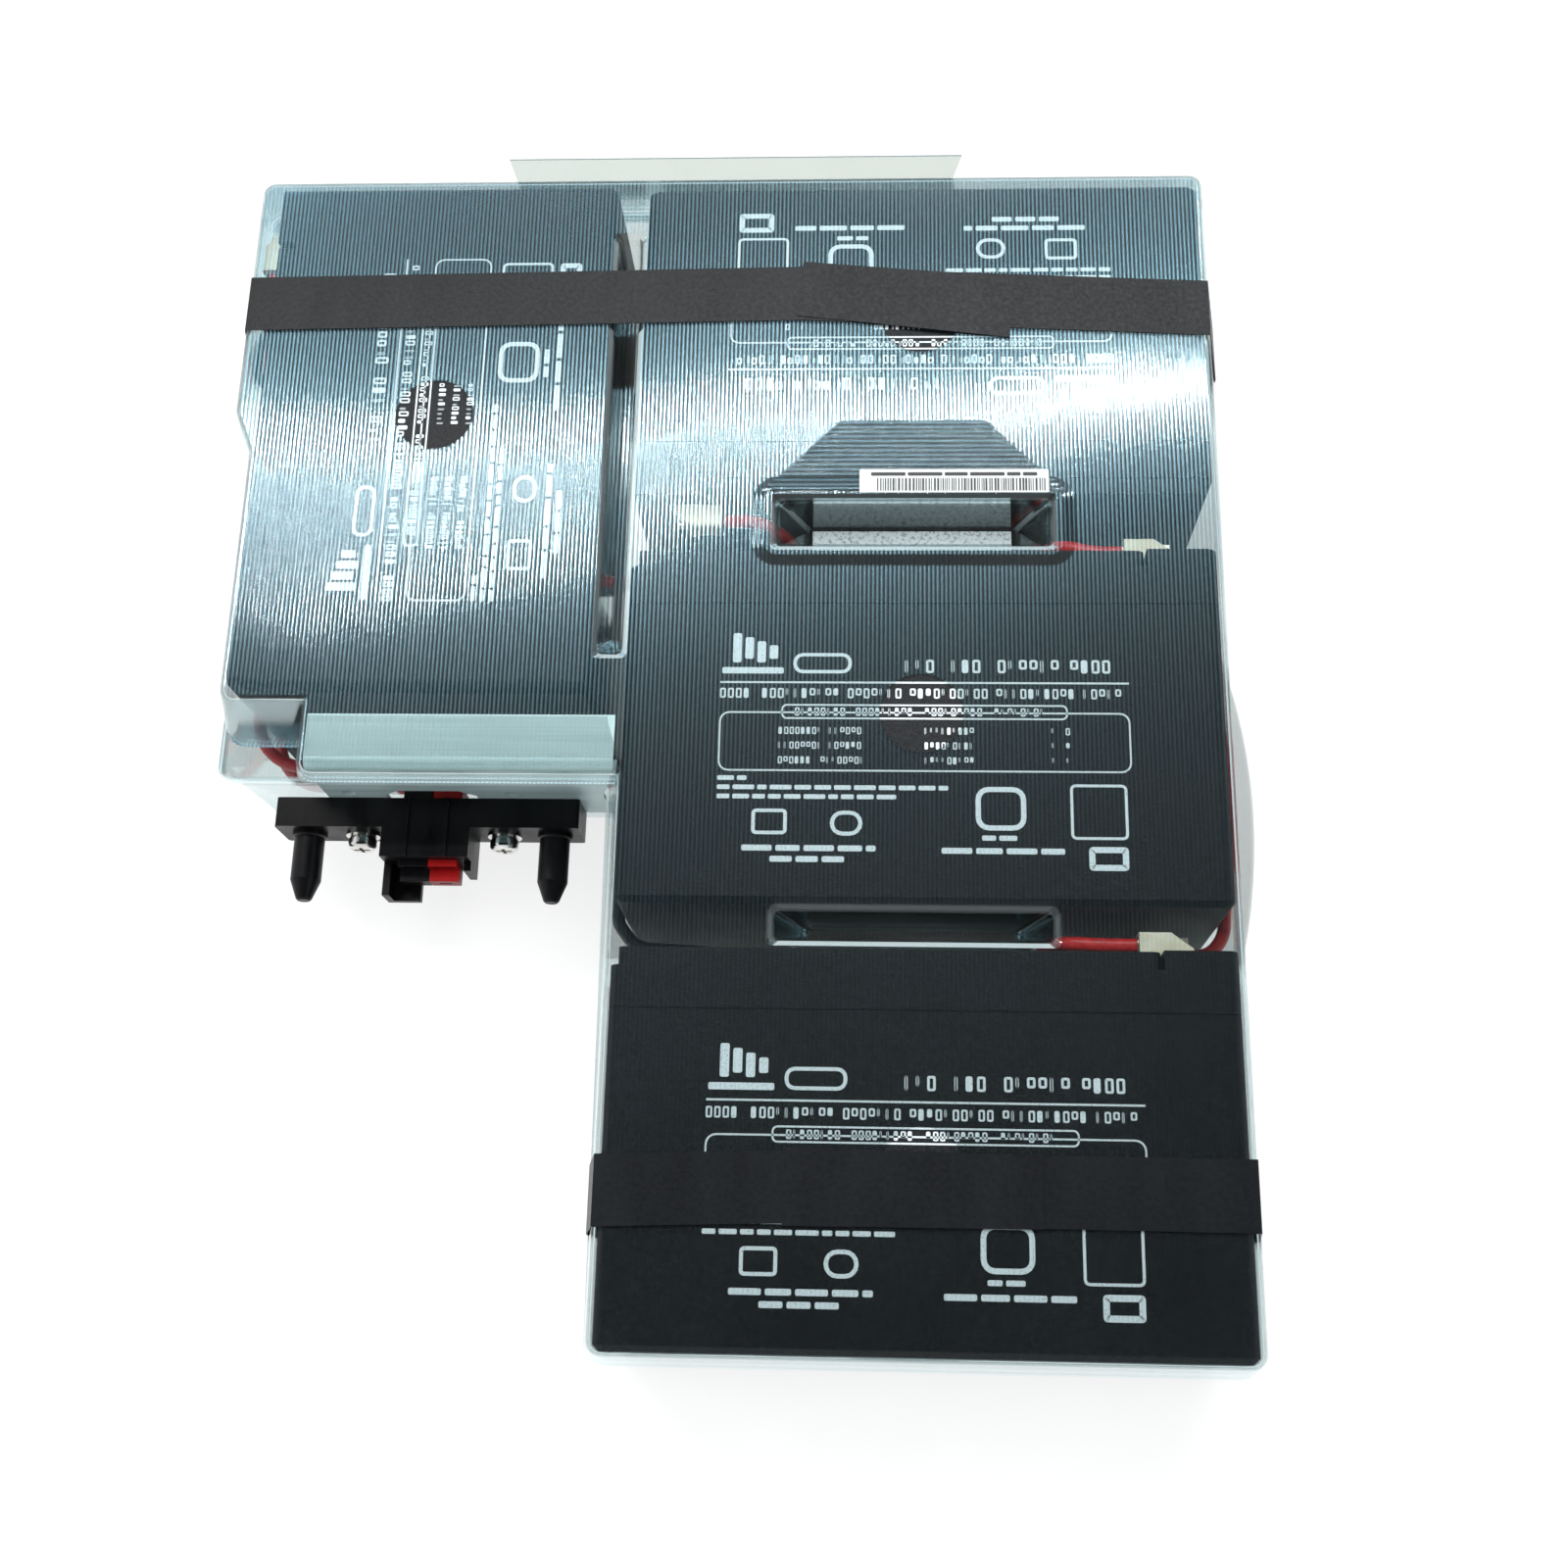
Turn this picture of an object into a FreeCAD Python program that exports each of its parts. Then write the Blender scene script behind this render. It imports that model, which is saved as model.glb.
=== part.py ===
import FreeCAD, Part
import math
import os

# Battery cartridge for an uninterruptible power supply.
# Four sealed 12 V lead-acid batteries lie flat in an L: a column of three and one at its side.
# Two clear thermoformed shells hold them, two tape straps close the shells, and a steel
# bracket in the inner corner of the L carries the plug that mates as the cartridge slides in.
#
# Frame, in millimetres: +Z up, +Y from the plug towards the rear pull flap, +X to the right.
# The origin is on the surface that the cartridge rests on, below the middle of the two guide
# pins, in the plane of the plug carrier's front face.

# ---------------------------------------------------------------- sheet goods
FILM = 0.6                  # wall of the clear shells
TAPE = 0.2                  # wall of the straps
FIT = 0.4                   # gap between a battery and a shell wall
TOP_GAP = 0.1               # gap between the batteries and the upper shell's top
NEST = 0.1                  # gap between the two shells where they overlap
TAPE_GAP = 0.05             # straps to the shells' walls

# ---------------------------------------------------------------- one battery, lying on its side
BATTERY_LENGTH = 151.0
BATTERY_THICKNESS = 65.0
BATTERY_HEIGHT = 94.0       # base to the top of the vent cover
TERMINAL_RISE = 5.0         # the blades stand this much above the vent cover
LID_HEIGHT = 15.2
CASE_WALL = 2.5
PARTITION = 1.6
CELLS = 6
EDGE_RADIUS = 3.0           # the four long edges of case and lid
BASE_CHAMFER = 1.5
LID_REBATE = 0.35           # step that shows as the joint line between case and lid
COVER_HEIGHT = 4.5
COVER_END_INSET = 1.8
COVER_SIDE_INSET = 0.5
COVER_WALL = 1.4
TERMINAL_BLOCK = 18.0       # raised end of the lid that carries both terminals
BLOCK_STEP = 0.3            # the block stands this much above the vent cover
COVER_GAP = 0.6             # joint between the vent cover and the block
DECK = 3.5                  # thickness of the lid under the vent cover
CAP_DIAMETER = 10.0
CAP_HEIGHT = 2.6
VENT_BORE = 5.0

BLADE_WIDTH = 6.35          # tab terminal
BLADE_THICKNESS = 0.8
BLADE_FROM_END = 14.5
BLADE_FROM_SIDE = 9.5
FOOT_SIZE = 9.0
FOOT_THICKNESS = 1.2
WELL_SIZE = 10.0
WELL_DEPTH = 3.0

# ---------------------------------------------------------------- where the batteries lie
COLUMN_LEFT = 53.85         # left side of the column from the middle of the plug
COLUMN_FRONT = -131.0       # front of the column from the carrier's front face
FRONT_GAP = 11.2            # front battery's lid to middle battery's base
LID_GAP = 16.25             # middle battery's lid to rear battery's lid
COLUMN_GAP = 8.8            # side battery's base to the column
SIDE_FRONT = 29.0           # side battery's lower side from the carrier's front face

# ---------------------------------------------------------------- shells
WALL_LEAN = 5.4             # an upper wall stands this much further out at the rim than at the top
CORNER_SPREAD = 0.4         # share of the lean that its corner radius grows by
FRONT_PULL = (1.6, 3.2)     # the strap draws the rim's front corners in by this much
RIM_Z = 43.8                # ledge of the upper shell
SKIRT = 4.5                 # upright edge below the ledge
TOP_ROUND = 1.6
CORNER = 3.5
INNER_CORNER = 5.0
TERMINAL_ROOM = 5.0             # widened stretch beside the side battery's terminals
TERMINAL_ROOM_START = 80.0      # from the side battery's lower side
TERMINAL_ROOM_SLOPE = 12.0
SIDE_FRONT_ROOM = 3.0           # top of the shell to the side battery's lower side
LEDGE_EXTRA = 1.0               # the ledge stands out past the leaning wall at the front left
LEDGE_CORNER = 3.5
LEDGE_FRONT = 11.6              # front edge of the ledge from the carrier's front face
POCKET_MOUTH = 1.3              # bevel round a pocket's mouth
LID_POCKET = (73.5, 15.2, 9.5, 17.6)    # mouth length and width, run of the end ramps, depth
BASE_POCKET = (70.0, 9.4, 9.0, 19.6)
SLOT_POCKET = (125.0, 8.3, 11.0, 17.6)
POCKET_CENTRE = 73.2            # from the column's left side
SLOT_CENTRE = 71.9              # from the side battery's lower side
POCKET_LEAN = 0.9               # a pocket's long walls lean in by this much
WINDOW_DIAMETER = 21.0          # round openings over the batteries
WINDOW_PITCH = 113.2
WINDOW_X = 75.2                 # from the column's left side
WINDOW_Y = 154.2                # middle opening, from the column's front
SIDE_WINDOW = (45.9, 78.6)      # from the side battery's base and lower side
TRAY_LEAN = 4.1                 # a lower wall stands this much further out at the rim
TRAY_LEFT_LEAN = 2.3
TRAY_FRONT_LEAN = 2.7
TRAY_EDGE = 1.5                 # bevel along the tray's bottom edge
BOW_CHORD = 79.0                # the tray's right wall bows out beside the middle battery
BOW_REACH = 5.0                 # at the bow's top, past the tray's wall
BOW_TOP = 39.0
BOW_FLOOR = 6.0
BOW_CENTRE = 136.5              # from the column's front
BOW_ROOT = 2.0                  # the bow's form reaches this far inside the upper wall

# ---------------------------------------------------------------- plug end
CARRIER_LENGTH = 80.8
CARRIER_SHIFT = -0.35           # the carrier's middle lies this far to the left of the pins'
CARRIER_HEIGHT = 14.0
CARRIER_DEPTH = 8.0
PLUG_Z = 33.8                   # height of pins, screws and contacts
PIN_DIAMETER = 8.0
PIN_SPACING = 65.9
PIN_LENGTH = 18.5
PIN_TAPER = 5.5
PIN_TIP = 4.2
PIN_COLLAR = (9.2, 1.4)
CARRIER_ROUND = 1.0
HOOD_LEFT = -12.0
HOOD_RIGHT = 11.4
HOOD_WALL = 1.9
HOOD_FRONT = 8.0
HOOD_RIB = (1.0, 0.7)
LIP_FRONT = 17.0
LIP_WIDTH = 9.0
SCREW_X = 19.05
SCREW_SHIFT = 0.5
SCREW_DIAMETER = 4.0
SCREW_HOLE = 4.5
HEAD_DIAMETER = 7.6
HEAD_HEIGHT = 2.7
WASHER = (9.0, 0.8)
SPRING_WASHER = (7.0, 1.0)
NUT_DIAMETER = 7.4
NUT_HEIGHT = 2.0
THREAD_GAP = 0.05

BRACKET_WALL = 1.2
BRACKET_LEFT = -26.65
BRACKET_DEPTH = 14.4
BRACKET_BEND = 3.0
WEB_BOTTOM = 28.8
WEB_NOTCH = (24.2, 46.8, 4.0)   # width, top and corner cut of the opening for the plug
WEB_NOTCH_X = 1.05
WEB_HOLE = 3.6
WEB_HOLE_X = (-20.45, 22.85)
WEB_HOLE_Z = 44.8
BRACKET_ROOM = 0.9              # shell to the bracket's end
COVER_ROOM = 1.0                # shell to the bracket's web
COVER_LIP = 5.6                 # height of the turned-down lip in front of the bracket
BRACKET_CLEAR = 0.6             # bracket's right edge to the column's wall
WINDOW_BOTTOM = 22.8            # opening of the tray behind the plug
WINDOW_WIDTH = 24.0

HOUSING_SIZE = 7.9
HOUSING_LENGTH = 24.6
HOUSING_FRONT = 13.0            # housings reach this far in front of the carrier
HOUSING_WALL = 1.1
HOUSING_NOSE = 3.2              # the lower half of the nose stands this far forward
HOUSING_LEFT = -7.65
CONTACT_WIDTH = 4.6
CONTACT_THICKNESS = 1.0
CONTACT_BARREL = (5.0, 9.0)

# ---------------------------------------------------------------- wires and their receptacles
WIRE = 3.4
SLEEVE_OVER = 1.4               # the sleeve stands this much above the blade
SLEEVE_LENGTH = 13.0
SLEEVE_THICKNESS = 6.6
WIRE_RISE = 3.6                 # wire axis above the battery's vent cover
RECEPTACLE = (7.4, 2.4, 7.0)
RECEPTACLE_BARREL = (4.6, 5.0)

# ---------------------------------------------------------------- straps, label and pull flap
STRAP_WIDTH = 16.6
REAR_STRAP = (272.6, 275.0, 269.3)  # centre line from the column's front: left end, bend, right end
FRONT_STRAP = (35.5, 37.3, 36.9)
LAP_X = 43.0                    # the bend from the column's left side
REAR_LAP = ((42.0, 268.0), (99.0, 261.0), (100.4, 279.5), (43.4, 284.8))
FRONT_LAP = ((43.0, 28.4), (103.0, 28.6), (103.0, 45.2), (43.6, 46.4))

LABEL = (49.2, 6.7, 0.12)
LABEL_AT = (59.2, -0.25)        # from the column's left side and the rear battery's lid
FLAP_WIDTH = 121.7
FLAP_FLARE = 2.5
FLAP_FILM = 0.5
FLAP_LEG = 12.0                 # height of the leg on the rear wall
FLAP_START = 2.2                # leg's upper edge below the shell's top
FLAP_TIP_DROP = 0.6             # lip's tip below the shell's top
FLAP_REACH = 7.4
FLAP_CENTRE = 23.4              # from the column's left side

# ---------------------------------------------------------------- worked out from the above
BATTERY_Z = TAPE + FILM
BATTERY_TOP = BATTERY_Z + BATTERY_THICKNESS
TOP = BATTERY_TOP + TOP_GAP + FILM
SKIRT_Z = RIM_Z - SKIRT
TRAY_RIM = RIM_Z - FILM - NEST
CASE_HEIGHT = BATTERY_HEIGHT - LID_HEIGHT
LID_DECK = BATTERY_HEIGHT - COVER_HEIGHT
BLOCK_TOP = BATTERY_HEIGHT + BLOCK_STEP
TERMINAL_TOP = BATTERY_HEIGHT + TERMINAL_RISE
WIRE_LEVEL = BATTERY_HEIGHT + WIRE_RISE
BLOCK_START = BATTERY_LENGTH - TERMINAL_BLOCK
BLADE_X = BATTERY_LENGTH - BLADE_FROM_END
CELL_WIDTH = (BATTERY_LENGTH - 2 * CASE_WALL - (CELLS - 1) * PARTITION) / CELLS
MIDDLE_FRONT = COLUMN_FRONT + BATTERY_HEIGHT + FRONT_GAP
MIDDLE_LID = MIDDLE_FRONT + BATTERY_HEIGHT
REAR_LID = MIDDLE_LID + LID_GAP
REAR_BASE = REAR_LID + BATTERY_HEIGHT
SIDE_BASE = COLUMN_LEFT - COLUMN_GAP
SIDE_LID = SIDE_BASE - BATTERY_HEIGHT
WALL_OUT = FIT + FILM
COLUMN_WALL = COLUMN_LEFT - WALL_OUT
RIGHT_WALL = COLUMN_LEFT + BATTERY_LENGTH + WALL_OUT
BRACKET_RIGHT = COLUMN_WALL - BRACKET_CLEAR
FRONT_WALL = COLUMN_FRONT - WALL_OUT
REAR_WALL = max(SIDE_FRONT + BATTERY_LENGTH, REAR_BASE) + WALL_OUT
SIDE_WALL = SIDE_LID - WALL_OUT
TERMINAL_WALL = SIDE_WALL - TERMINAL_ROOM
ROOM_START = SIDE_FRONT + TERMINAL_ROOM_START
COVER_LEFT = BRACKET_LEFT - BRACKET_ROOM - FILM
COVER_FRONT = CARRIER_DEPTH - COVER_ROOM - FILM
COVER_BOTTOM = TOP - COVER_LIP
LEAN_ANGLE = WALL_LEAN / (TOP - RIM_Z)


# ================================================================ drawing helpers
def vec(x, y, z):
    return FreeCAD.Vector(x, y, z)


def block(x0, y0, z0, x1, y1, z1):
    """A box from its lowest to its highest corner."""
    return Part.makeBox(x1 - x0, y1 - y0, z1 - z0, vec(x0, y0, z0))


def disc(diameter, height, centre, axis):
    """A round bar that starts at centre and runs along axis."""
    return Part.makeCylinder(diameter / 2.0, height, centre, axis)


def corner_points(before, at, after, radius):
    """Start, middle and end of the arc that rounds the corner at a point."""
    back = (before - at).normalize()
    ahead = (after - at).normalize()
    half = back.getAngle(ahead) / 2.0
    reach = radius / math.tan(half)
    centre = at + (back + ahead).normalize() * (radius / math.sin(half))
    middle = centre + (at - centre).normalize() * radius
    return at + back * reach, middle, at + ahead * reach


def outline(corners, z):
    """Closed wire at a height, from (x, y, corner radius) in counter-clockwise order."""
    points = [vec(x, y, z) for x, y, radius in corners]
    edges = []
    stops = []
    for i, (x, y, radius) in enumerate(corners):
        before = points[i - 1]
        after = points[(i + 1) % len(points)]
        if radius > 0:
            stops.append(corner_points(before, points[i], after, radius))
        else:
            stops.append((points[i], None, points[i]))
    for i, (start, middle, end) in enumerate(stops):
        if middle is not None:
            edges.append(Part.Arc(start, middle, end).toShape())
        following = stops[(i + 1) % len(stops)][0]
        if (following - end).Length > 1e-6:
            edges.append(Part.LineSegment(end, following).toShape())
    return Part.Wire(edges)


def inset(corners, step, share=1.0):
    """The same outline moved inwards by step; corner radii change by a share of the step."""
    moved = []
    for i, (x, y, radius) in enumerate(corners):
        before = corners[i - 1]
        after = corners[(i + 1) % len(corners)]
        along = vec(x - before[0], y - before[1], 0).normalize()
        onward = vec(after[0] - x, after[1] - y, 0).normalize()
        inward = vec(-along.y, along.x, 0)
        inward_next = vec(-onward.y, onward.x, 0)
        shift = (inward + inward_next) * (step / (1.0 + inward.dot(inward_next)))
        convex = along.x * onward.y - along.y * onward.x > 0
        new_radius = radius - share * step if convex else radius + share * step
        moved.append((x + shift.x, y + shift.y, new_radius if radius > 0 else 0.0))
    return moved


def plate(corners, z0, z1):
    """Upright solid of an outline between two heights."""
    return Part.Face(outline(corners, z0)).extrude(vec(0, 0, z1 - z0))


def rectangle(x0, y0, x1, y1, radius):
    return [(x0, y0, radius), (x1, y0, radius), (x1, y1, radius), (x0, y1, radius)]


def edges_at(solid, z):
    """Edges that lie flat at a height."""
    found = []
    for edge in solid.Edges:
        level = [abs(v.Point.z - z) < 1e-5 for v in edge.Vertexes]
        if all(level) and abs(edge.CenterOfMass.z - z) < 1e-5:
            found.append(edge)
    return found


def bar_y(corners, y0, y1):
    """Solid of an outline drawn in X and Z, between two places along Y."""
    upright = plate(corners, 0, y1 - y0)
    upright.rotate(vec(0, 0, 0), vec(1, 0, 0), 90)
    upright.translate(vec(0, y1, 0))
    return upright


def pipe(points, diameter, radii):
    """Round wire along straight runs joined by tangent arcs, and its length."""
    places = [vec(*p) for p in points]
    pieces = []
    length = 0.0
    start = places[0]
    for i in range(1, len(places) - 1):
        enter, middle, leave = corner_points(places[i - 1], places[i], places[i + 1], radii[i - 1])
        along = (places[i] - places[i - 1]).normalize()
        onward = (places[i + 1] - places[i]).normalize()
        pieces.append(Part.makeCylinder(diameter / 2.0, (enter - start).Length, start, along))
        centre = middle + ((enter + leave) / 2.0 - middle).normalize() * radii[i - 1]
        turn = along.getAngle(onward)
        section = Part.Face(Part.Wire(Part.makeCircle(diameter / 2.0, enter, along)))
        pieces.append(section.revolve(centre, along.cross(onward), math.degrees(turn)))
        length += (enter - start).Length + radii[i - 1] * turn
        start = leave
    last = places[-1] - start
    pieces.append(Part.makeCylinder(diameter / 2.0, last.Length, start, last))
    return pieces[0].fuse(pieces[1:]).removeSplitter(), length + last.Length


def wire_radii(points, largest, share=0.45):
    """Bend radius at each inner point: as large as the shorter run beside it allows."""
    places = [vec(*p) for p in points]
    radii = []
    for i in range(1, len(places) - 1):
        back = places[i - 1] - places[i]
        ahead = places[i + 1] - places[i]
        turn = math.pi - back.getAngle(ahead)
        shorter = min(back.Length, ahead.Length)
        radii.append(min(largest, share * shorter / math.tan(turn / 2.0)))
    return radii


# ================================================================ one battery in its own frame
# x runs along the length, y from the base to the lid, z through the thickness.
def battery_section(step):
    return rectangle(step, step, BATTERY_LENGTH - step, BATTERY_THICKNESS - step, EDGE_RADIUS - step)


def bar_of_section(step, y0, y1):
    """Bar of the battery's rounded section between two heights above its base."""
    bar = plate(battery_section(step), 0, y1 - y0)
    bar.rotate(vec(0, 0, 0), vec(1, 0, 0), 90)
    bar.translate(vec(0, y1, 0))
    return bar


def cell_left(index):
    return CASE_WALL + index * (CELL_WIDTH + PARTITION)


def battery_case():
    case = bar_of_section(0, 0, CASE_HEIGHT)
    base = [e for e in case.Edges if all(abs(v.Point.y) < 1e-6 for v in e.Vertexes)]
    case = case.makeChamfer(BASE_CHAMFER, base)
    for i in range(CELLS):
        left = cell_left(i)
        room = block(left, CASE_WALL, CASE_WALL, left + CELL_WIDTH, CASE_HEIGHT + 1,
                     BATTERY_THICKNESS - CASE_WALL)
        case = case.cut(room)
    return case


def battery_cell_groups():
    """Plates and glass mats of the six cells, each with its two cast straps."""
    clear = 0.3
    top = CASE_HEIGHT - 9.0
    groups = []
    for i in range(CELLS):
        left = cell_left(i) + clear
        right = left + CELL_WIDTH - 2 * clear
        far = BATTERY_THICKNESS - CASE_WALL - clear
        group = block(left, CASE_WALL, CASE_WALL + clear, right, top, far)
        for side in (CASE_WALL + 4.0, far - 14.0):
            group = group.fuse(block(left + 2.0, top, side, right - 2.0, top + 4.0, side + 10.0))
        groups.append(group)
    return Part.makeCompound(groups)


def vent_centres():
    for i in range(CELLS):
        along = cell_left(i) + CELL_WIDTH / 2.0
        yield min(along, BLOCK_START - COVER_GAP - COVER_WALL - CAP_DIAMETER / 2.0 - 0.5)


def terminal_places():
    """Middle of the positive and of the negative blade, as (x, z)."""
    positive = BATTERY_THICKNESS - BLADE_FROM_SIDE
    return {"positive": (BLADE_X, positive), "negative": (BLADE_X, BLADE_FROM_SIDE)}


def blade(x, z):
    return block(x - BLADE_WIDTH / 2.0, LID_DECK - DECK, z - BLADE_THICKNESS / 2.0,
                 x + BLADE_WIDTH / 2.0, TERMINAL_TOP, z + BLADE_THICKNESS / 2.0)


def battery_tab(x, z):
    """Blade terminal with its foot under the lid's deck."""
    foot_top = LID_DECK - DECK
    foot = block(x - FOOT_SIZE / 2.0, foot_top - FOOT_THICKNESS, z - FOOT_SIZE / 2.0,
                 x + FOOT_SIZE / 2.0, foot_top, z + FOOT_SIZE / 2.0)
    tab = blade(x, z)
    tips = [e for e in tab.Edges
            if all(abs(v.Point.y - TERMINAL_TOP) < 1e-6 for v in e.Vertexes) and e.Length < 1.0]
    tab = tab.makeChamfer(0.7, tips)
    return tab.fuse(foot)


def battery_lid():
    lid = bar_of_section(0, CASE_HEIGHT + LID_REBATE, LID_DECK)
    lid = lid.fuse(bar_of_section(LID_REBATE, CASE_HEIGHT, CASE_HEIGHT + LID_REBATE))
    raised = bar_of_section(0, LID_DECK, BLOCK_TOP)
    raised = raised.common(block(BLOCK_START, 0, 0, BATTERY_LENGTH, BLOCK_TOP, BATTERY_THICKNESS))
    lid = lid.fuse(raised)
    hollow = block(CASE_WALL, CASE_HEIGHT - 1, CASE_WALL, BATTERY_LENGTH - CASE_WALL,
                   LID_DECK - DECK, BATTERY_THICKNESS - CASE_WALL)
    lid = lid.cut(hollow)
    for x, z in terminal_places().values():
        well = block(x - WELL_SIZE / 2.0 + 1.0, BLOCK_TOP - WELL_DEPTH, z - WELL_SIZE / 2.0 + 1.5,
                     x + WELL_SIZE / 2.0, BLOCK_TOP + 1, z + WELL_SIZE / 2.0 - 1.5)
        lid = lid.cut(well)
        lid = lid.cut(blade(x, z))
    for x in vent_centres():
        bore = disc(VENT_BORE, DECK + 2, vec(x, LID_DECK - DECK - 1, BATTERY_THICKNESS / 2.0), vec(0, 1, 0))
        lid = lid.cut(bore)
    return lid.removeSplitter()


def battery_vent_cover():
    """Shallow tray, open towards the lid, that covers the six valves."""
    x0 = COVER_END_INSET
    x1 = BLOCK_START - COVER_GAP
    z0 = COVER_SIDE_INSET
    z1 = BATTERY_THICKNESS - COVER_SIDE_INSET
    cover = bar_y(rectangle(x0, z0, x1, z1, 2.0), LID_DECK, BATTERY_HEIGHT)
    room = block(x0 + COVER_WALL, LID_DECK - 1, z0 + COVER_WALL,
                 x1 - COVER_WALL, BATTERY_HEIGHT - COVER_WALL, z1 - COVER_WALL)
    return cover.cut(room)


def battery_valve_caps():
    caps = []
    for x in vent_centres():
        cap = disc(CAP_DIAMETER, CAP_HEIGHT, vec(x, LID_DECK, BATTERY_THICKNESS / 2.0), vec(0, 1, 0))
        caps.append(cap)
    return Part.makeCompound(caps)


# The four batteries: turn about Z, then the place of their own x = y = z = 0 corner.
BATTERIES = {
    "front_battery": (0, vec(COLUMN_LEFT, COLUMN_FRONT, BATTERY_Z)),
    "middle_battery": (0, vec(COLUMN_LEFT, MIDDLE_FRONT, BATTERY_Z)),
    "rear_battery": (180, vec(COLUMN_LEFT + BATTERY_LENGTH, REAR_BASE, BATTERY_Z)),
    "side_battery": (90, vec(SIDE_BASE, SIDE_FRONT, BATTERY_Z)),
}


def placed(shape, battery):
    """A shape of the battery's own frame, moved to where that battery lies."""
    turn, corner = BATTERIES[battery]
    copy = shape.copy()
    copy.rotate(vec(0, 0, 0), vec(0, 0, 1), turn)
    copy.translate(corner)
    return copy


def battery_point(battery, x, y, z):
    turn, corner = BATTERIES[battery]
    return FreeCAD.Rotation(vec(0, 0, 1), turn).multVec(vec(x, y, z)) + corner


def battery_parts():
    parts = {
        "case": battery_case(),
        "lid": battery_lid(),
        "vent_cover": battery_vent_cover(),
        "valve_caps": battery_valve_caps(),
        "cell_groups": battery_cell_groups(),
    }
    for sign, (x, z) in terminal_places().items():
        parts[sign + "_tab"] = battery_tab(x, z)
    return parts


# ================================================================ receptacles on the blades
# The wire leaves along the length, towards the battery's middle or towards its end.
RECEPTACLES = {
    "front_battery": {"positive": -1, "negative": -1},
    "middle_battery": {"positive": -1, "negative": -1},
    "rear_battery": {"positive": -1, "negative": -1},
    "side_battery": {"positive": -1, "negative": -1},
}


def receptacle(x, z, way):
    """Folded brass receptacle over a blade, with a crimp barrel square to the blade."""
    width, thickness, height = RECEPTACLE
    diameter, length = RECEPTACLE_BARREL
    body = block(x - width / 2.0, TERMINAL_TOP - height, z - thickness / 2.0,
                 x + width / 2.0, TERMINAL_TOP + 0.3, z + thickness / 2.0)
    barrel = disc(diameter, length + 1.0, vec(x + way * (width / 2.0 - 1.0), WIRE_LEVEL, z), vec(way, 0, 0))
    return body.fuse(barrel).cut(blade(x, z))


def wire_start(way):
    """Distance from the blade's middle to where the wire's insulation starts."""
    return way * (RECEPTACLE[0] / 2.0 + RECEPTACLE_BARREL[1])


def sleeve(x, z, way):
    """Moulded nylon sleeve round a receptacle and the first millimetres of its wire."""
    back = x - way * (RECEPTACLE[0] / 2.0 + 1.0)
    mouth = back + way * SLEEVE_LENGTH
    top = TERMINAL_TOP + SLEEVE_OVER
    corners = [
        (back, BLOCK_TOP), (mouth, BLOCK_TOP), (mouth, top),
        (back + way * 5.2, top), (back, BLOCK_TOP + 2.2),
    ]
    points = [vec(px, py, z - SLEEVE_THICKNESS / 2.0) for px, py in corners]
    points.append(points[0])
    body = Part.Face(Part.makePolygon(points)).extrude(vec(0, 0, SLEEVE_THICKNESS))
    upright = [e for e in body.Edges if abs(e.tangentAt(e.FirstParameter).y) < 0.99
               and abs(e.Length - SLEEVE_THICKNESS) > 0.01 and e.CenterOfMass.y > BLOCK_TOP + 0.1]
    body = body.makeFillet(0.9, upright)
    width, thickness, height = RECEPTACLE
    room = block(x - width / 2.0, BLOCK_TOP - height, z - thickness / 2.0,
                 x + width / 2.0, TERMINAL_TOP + 0.3, z + thickness / 2.0)
    bore = disc(RECEPTACLE_BARREL[0], SLEEVE_LENGTH + 4, vec(x, WIRE_LEVEL, z), vec(way, 0, 0))
    return body.cut(room).cut(bore)


def receptacle_sets():
    metal = []
    nylon = []
    for battery, ways in RECEPTACLES.items():
        for sign, way in ways.items():
            x, z = terminal_places()[sign]
            metal.append(placed(receptacle(x, z, way), battery))
            nylon.append(placed(sleeve(x, z, way), battery))
    return Part.makeCompound(metal), Part.makeCompound(nylon)


def wire_end(battery, sign):
    """Where the wire starts at a battery terminal, and a point a little further along it."""
    x, z = terminal_places()[sign]
    way = RECEPTACLES[battery][sign]
    start = x + wire_start(way)
    near = battery_point(battery, start, WIRE_LEVEL, z)
    further = battery_point(battery, start + way * 10.0, WIRE_LEVEL, z)
    return tuple(near), tuple(further)


# ================================================================ upper shell
def moved(corners, index, move_x, move_y):
    """The same outline with one of its corners moved."""
    x, y, radius = corners[index]
    return corners[:index] + [(x + move_x, y + move_y, radius)] + corners[index + 1:]


def front_pulled(corners, share):
    """The column's two front corners, which come first, drawn in by the front strap."""
    pull_x, pull_y = FRONT_PULL
    corners = moved(corners, 0, pull_x * share, pull_y * share)
    return moved(corners, 1, -pull_x * share, pull_y * share)


def leaning(corners, step, bottom, pulled=False):
    """Form with leaning walls, from the rim up to the top, moved inwards by step."""
    top_z = TOP - step
    upper = inset(corners, step * (1.0 - LEAN_ANGLE))
    lean = LEAN_ANGLE * (top_z - bottom)
    lower = inset(upper, -lean, CORNER_SPREAD)
    if pulled:
        lower = front_pulled(lower, lean / WALL_LEAN)
    return Part.makeLoft([outline(lower, bottom), outline(upper, top_z)], True, True)


def column_plan():
    return rectangle(COLUMN_WALL, FRONT_WALL, RIGHT_WALL, REAR_WALL, CORNER)


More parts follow.
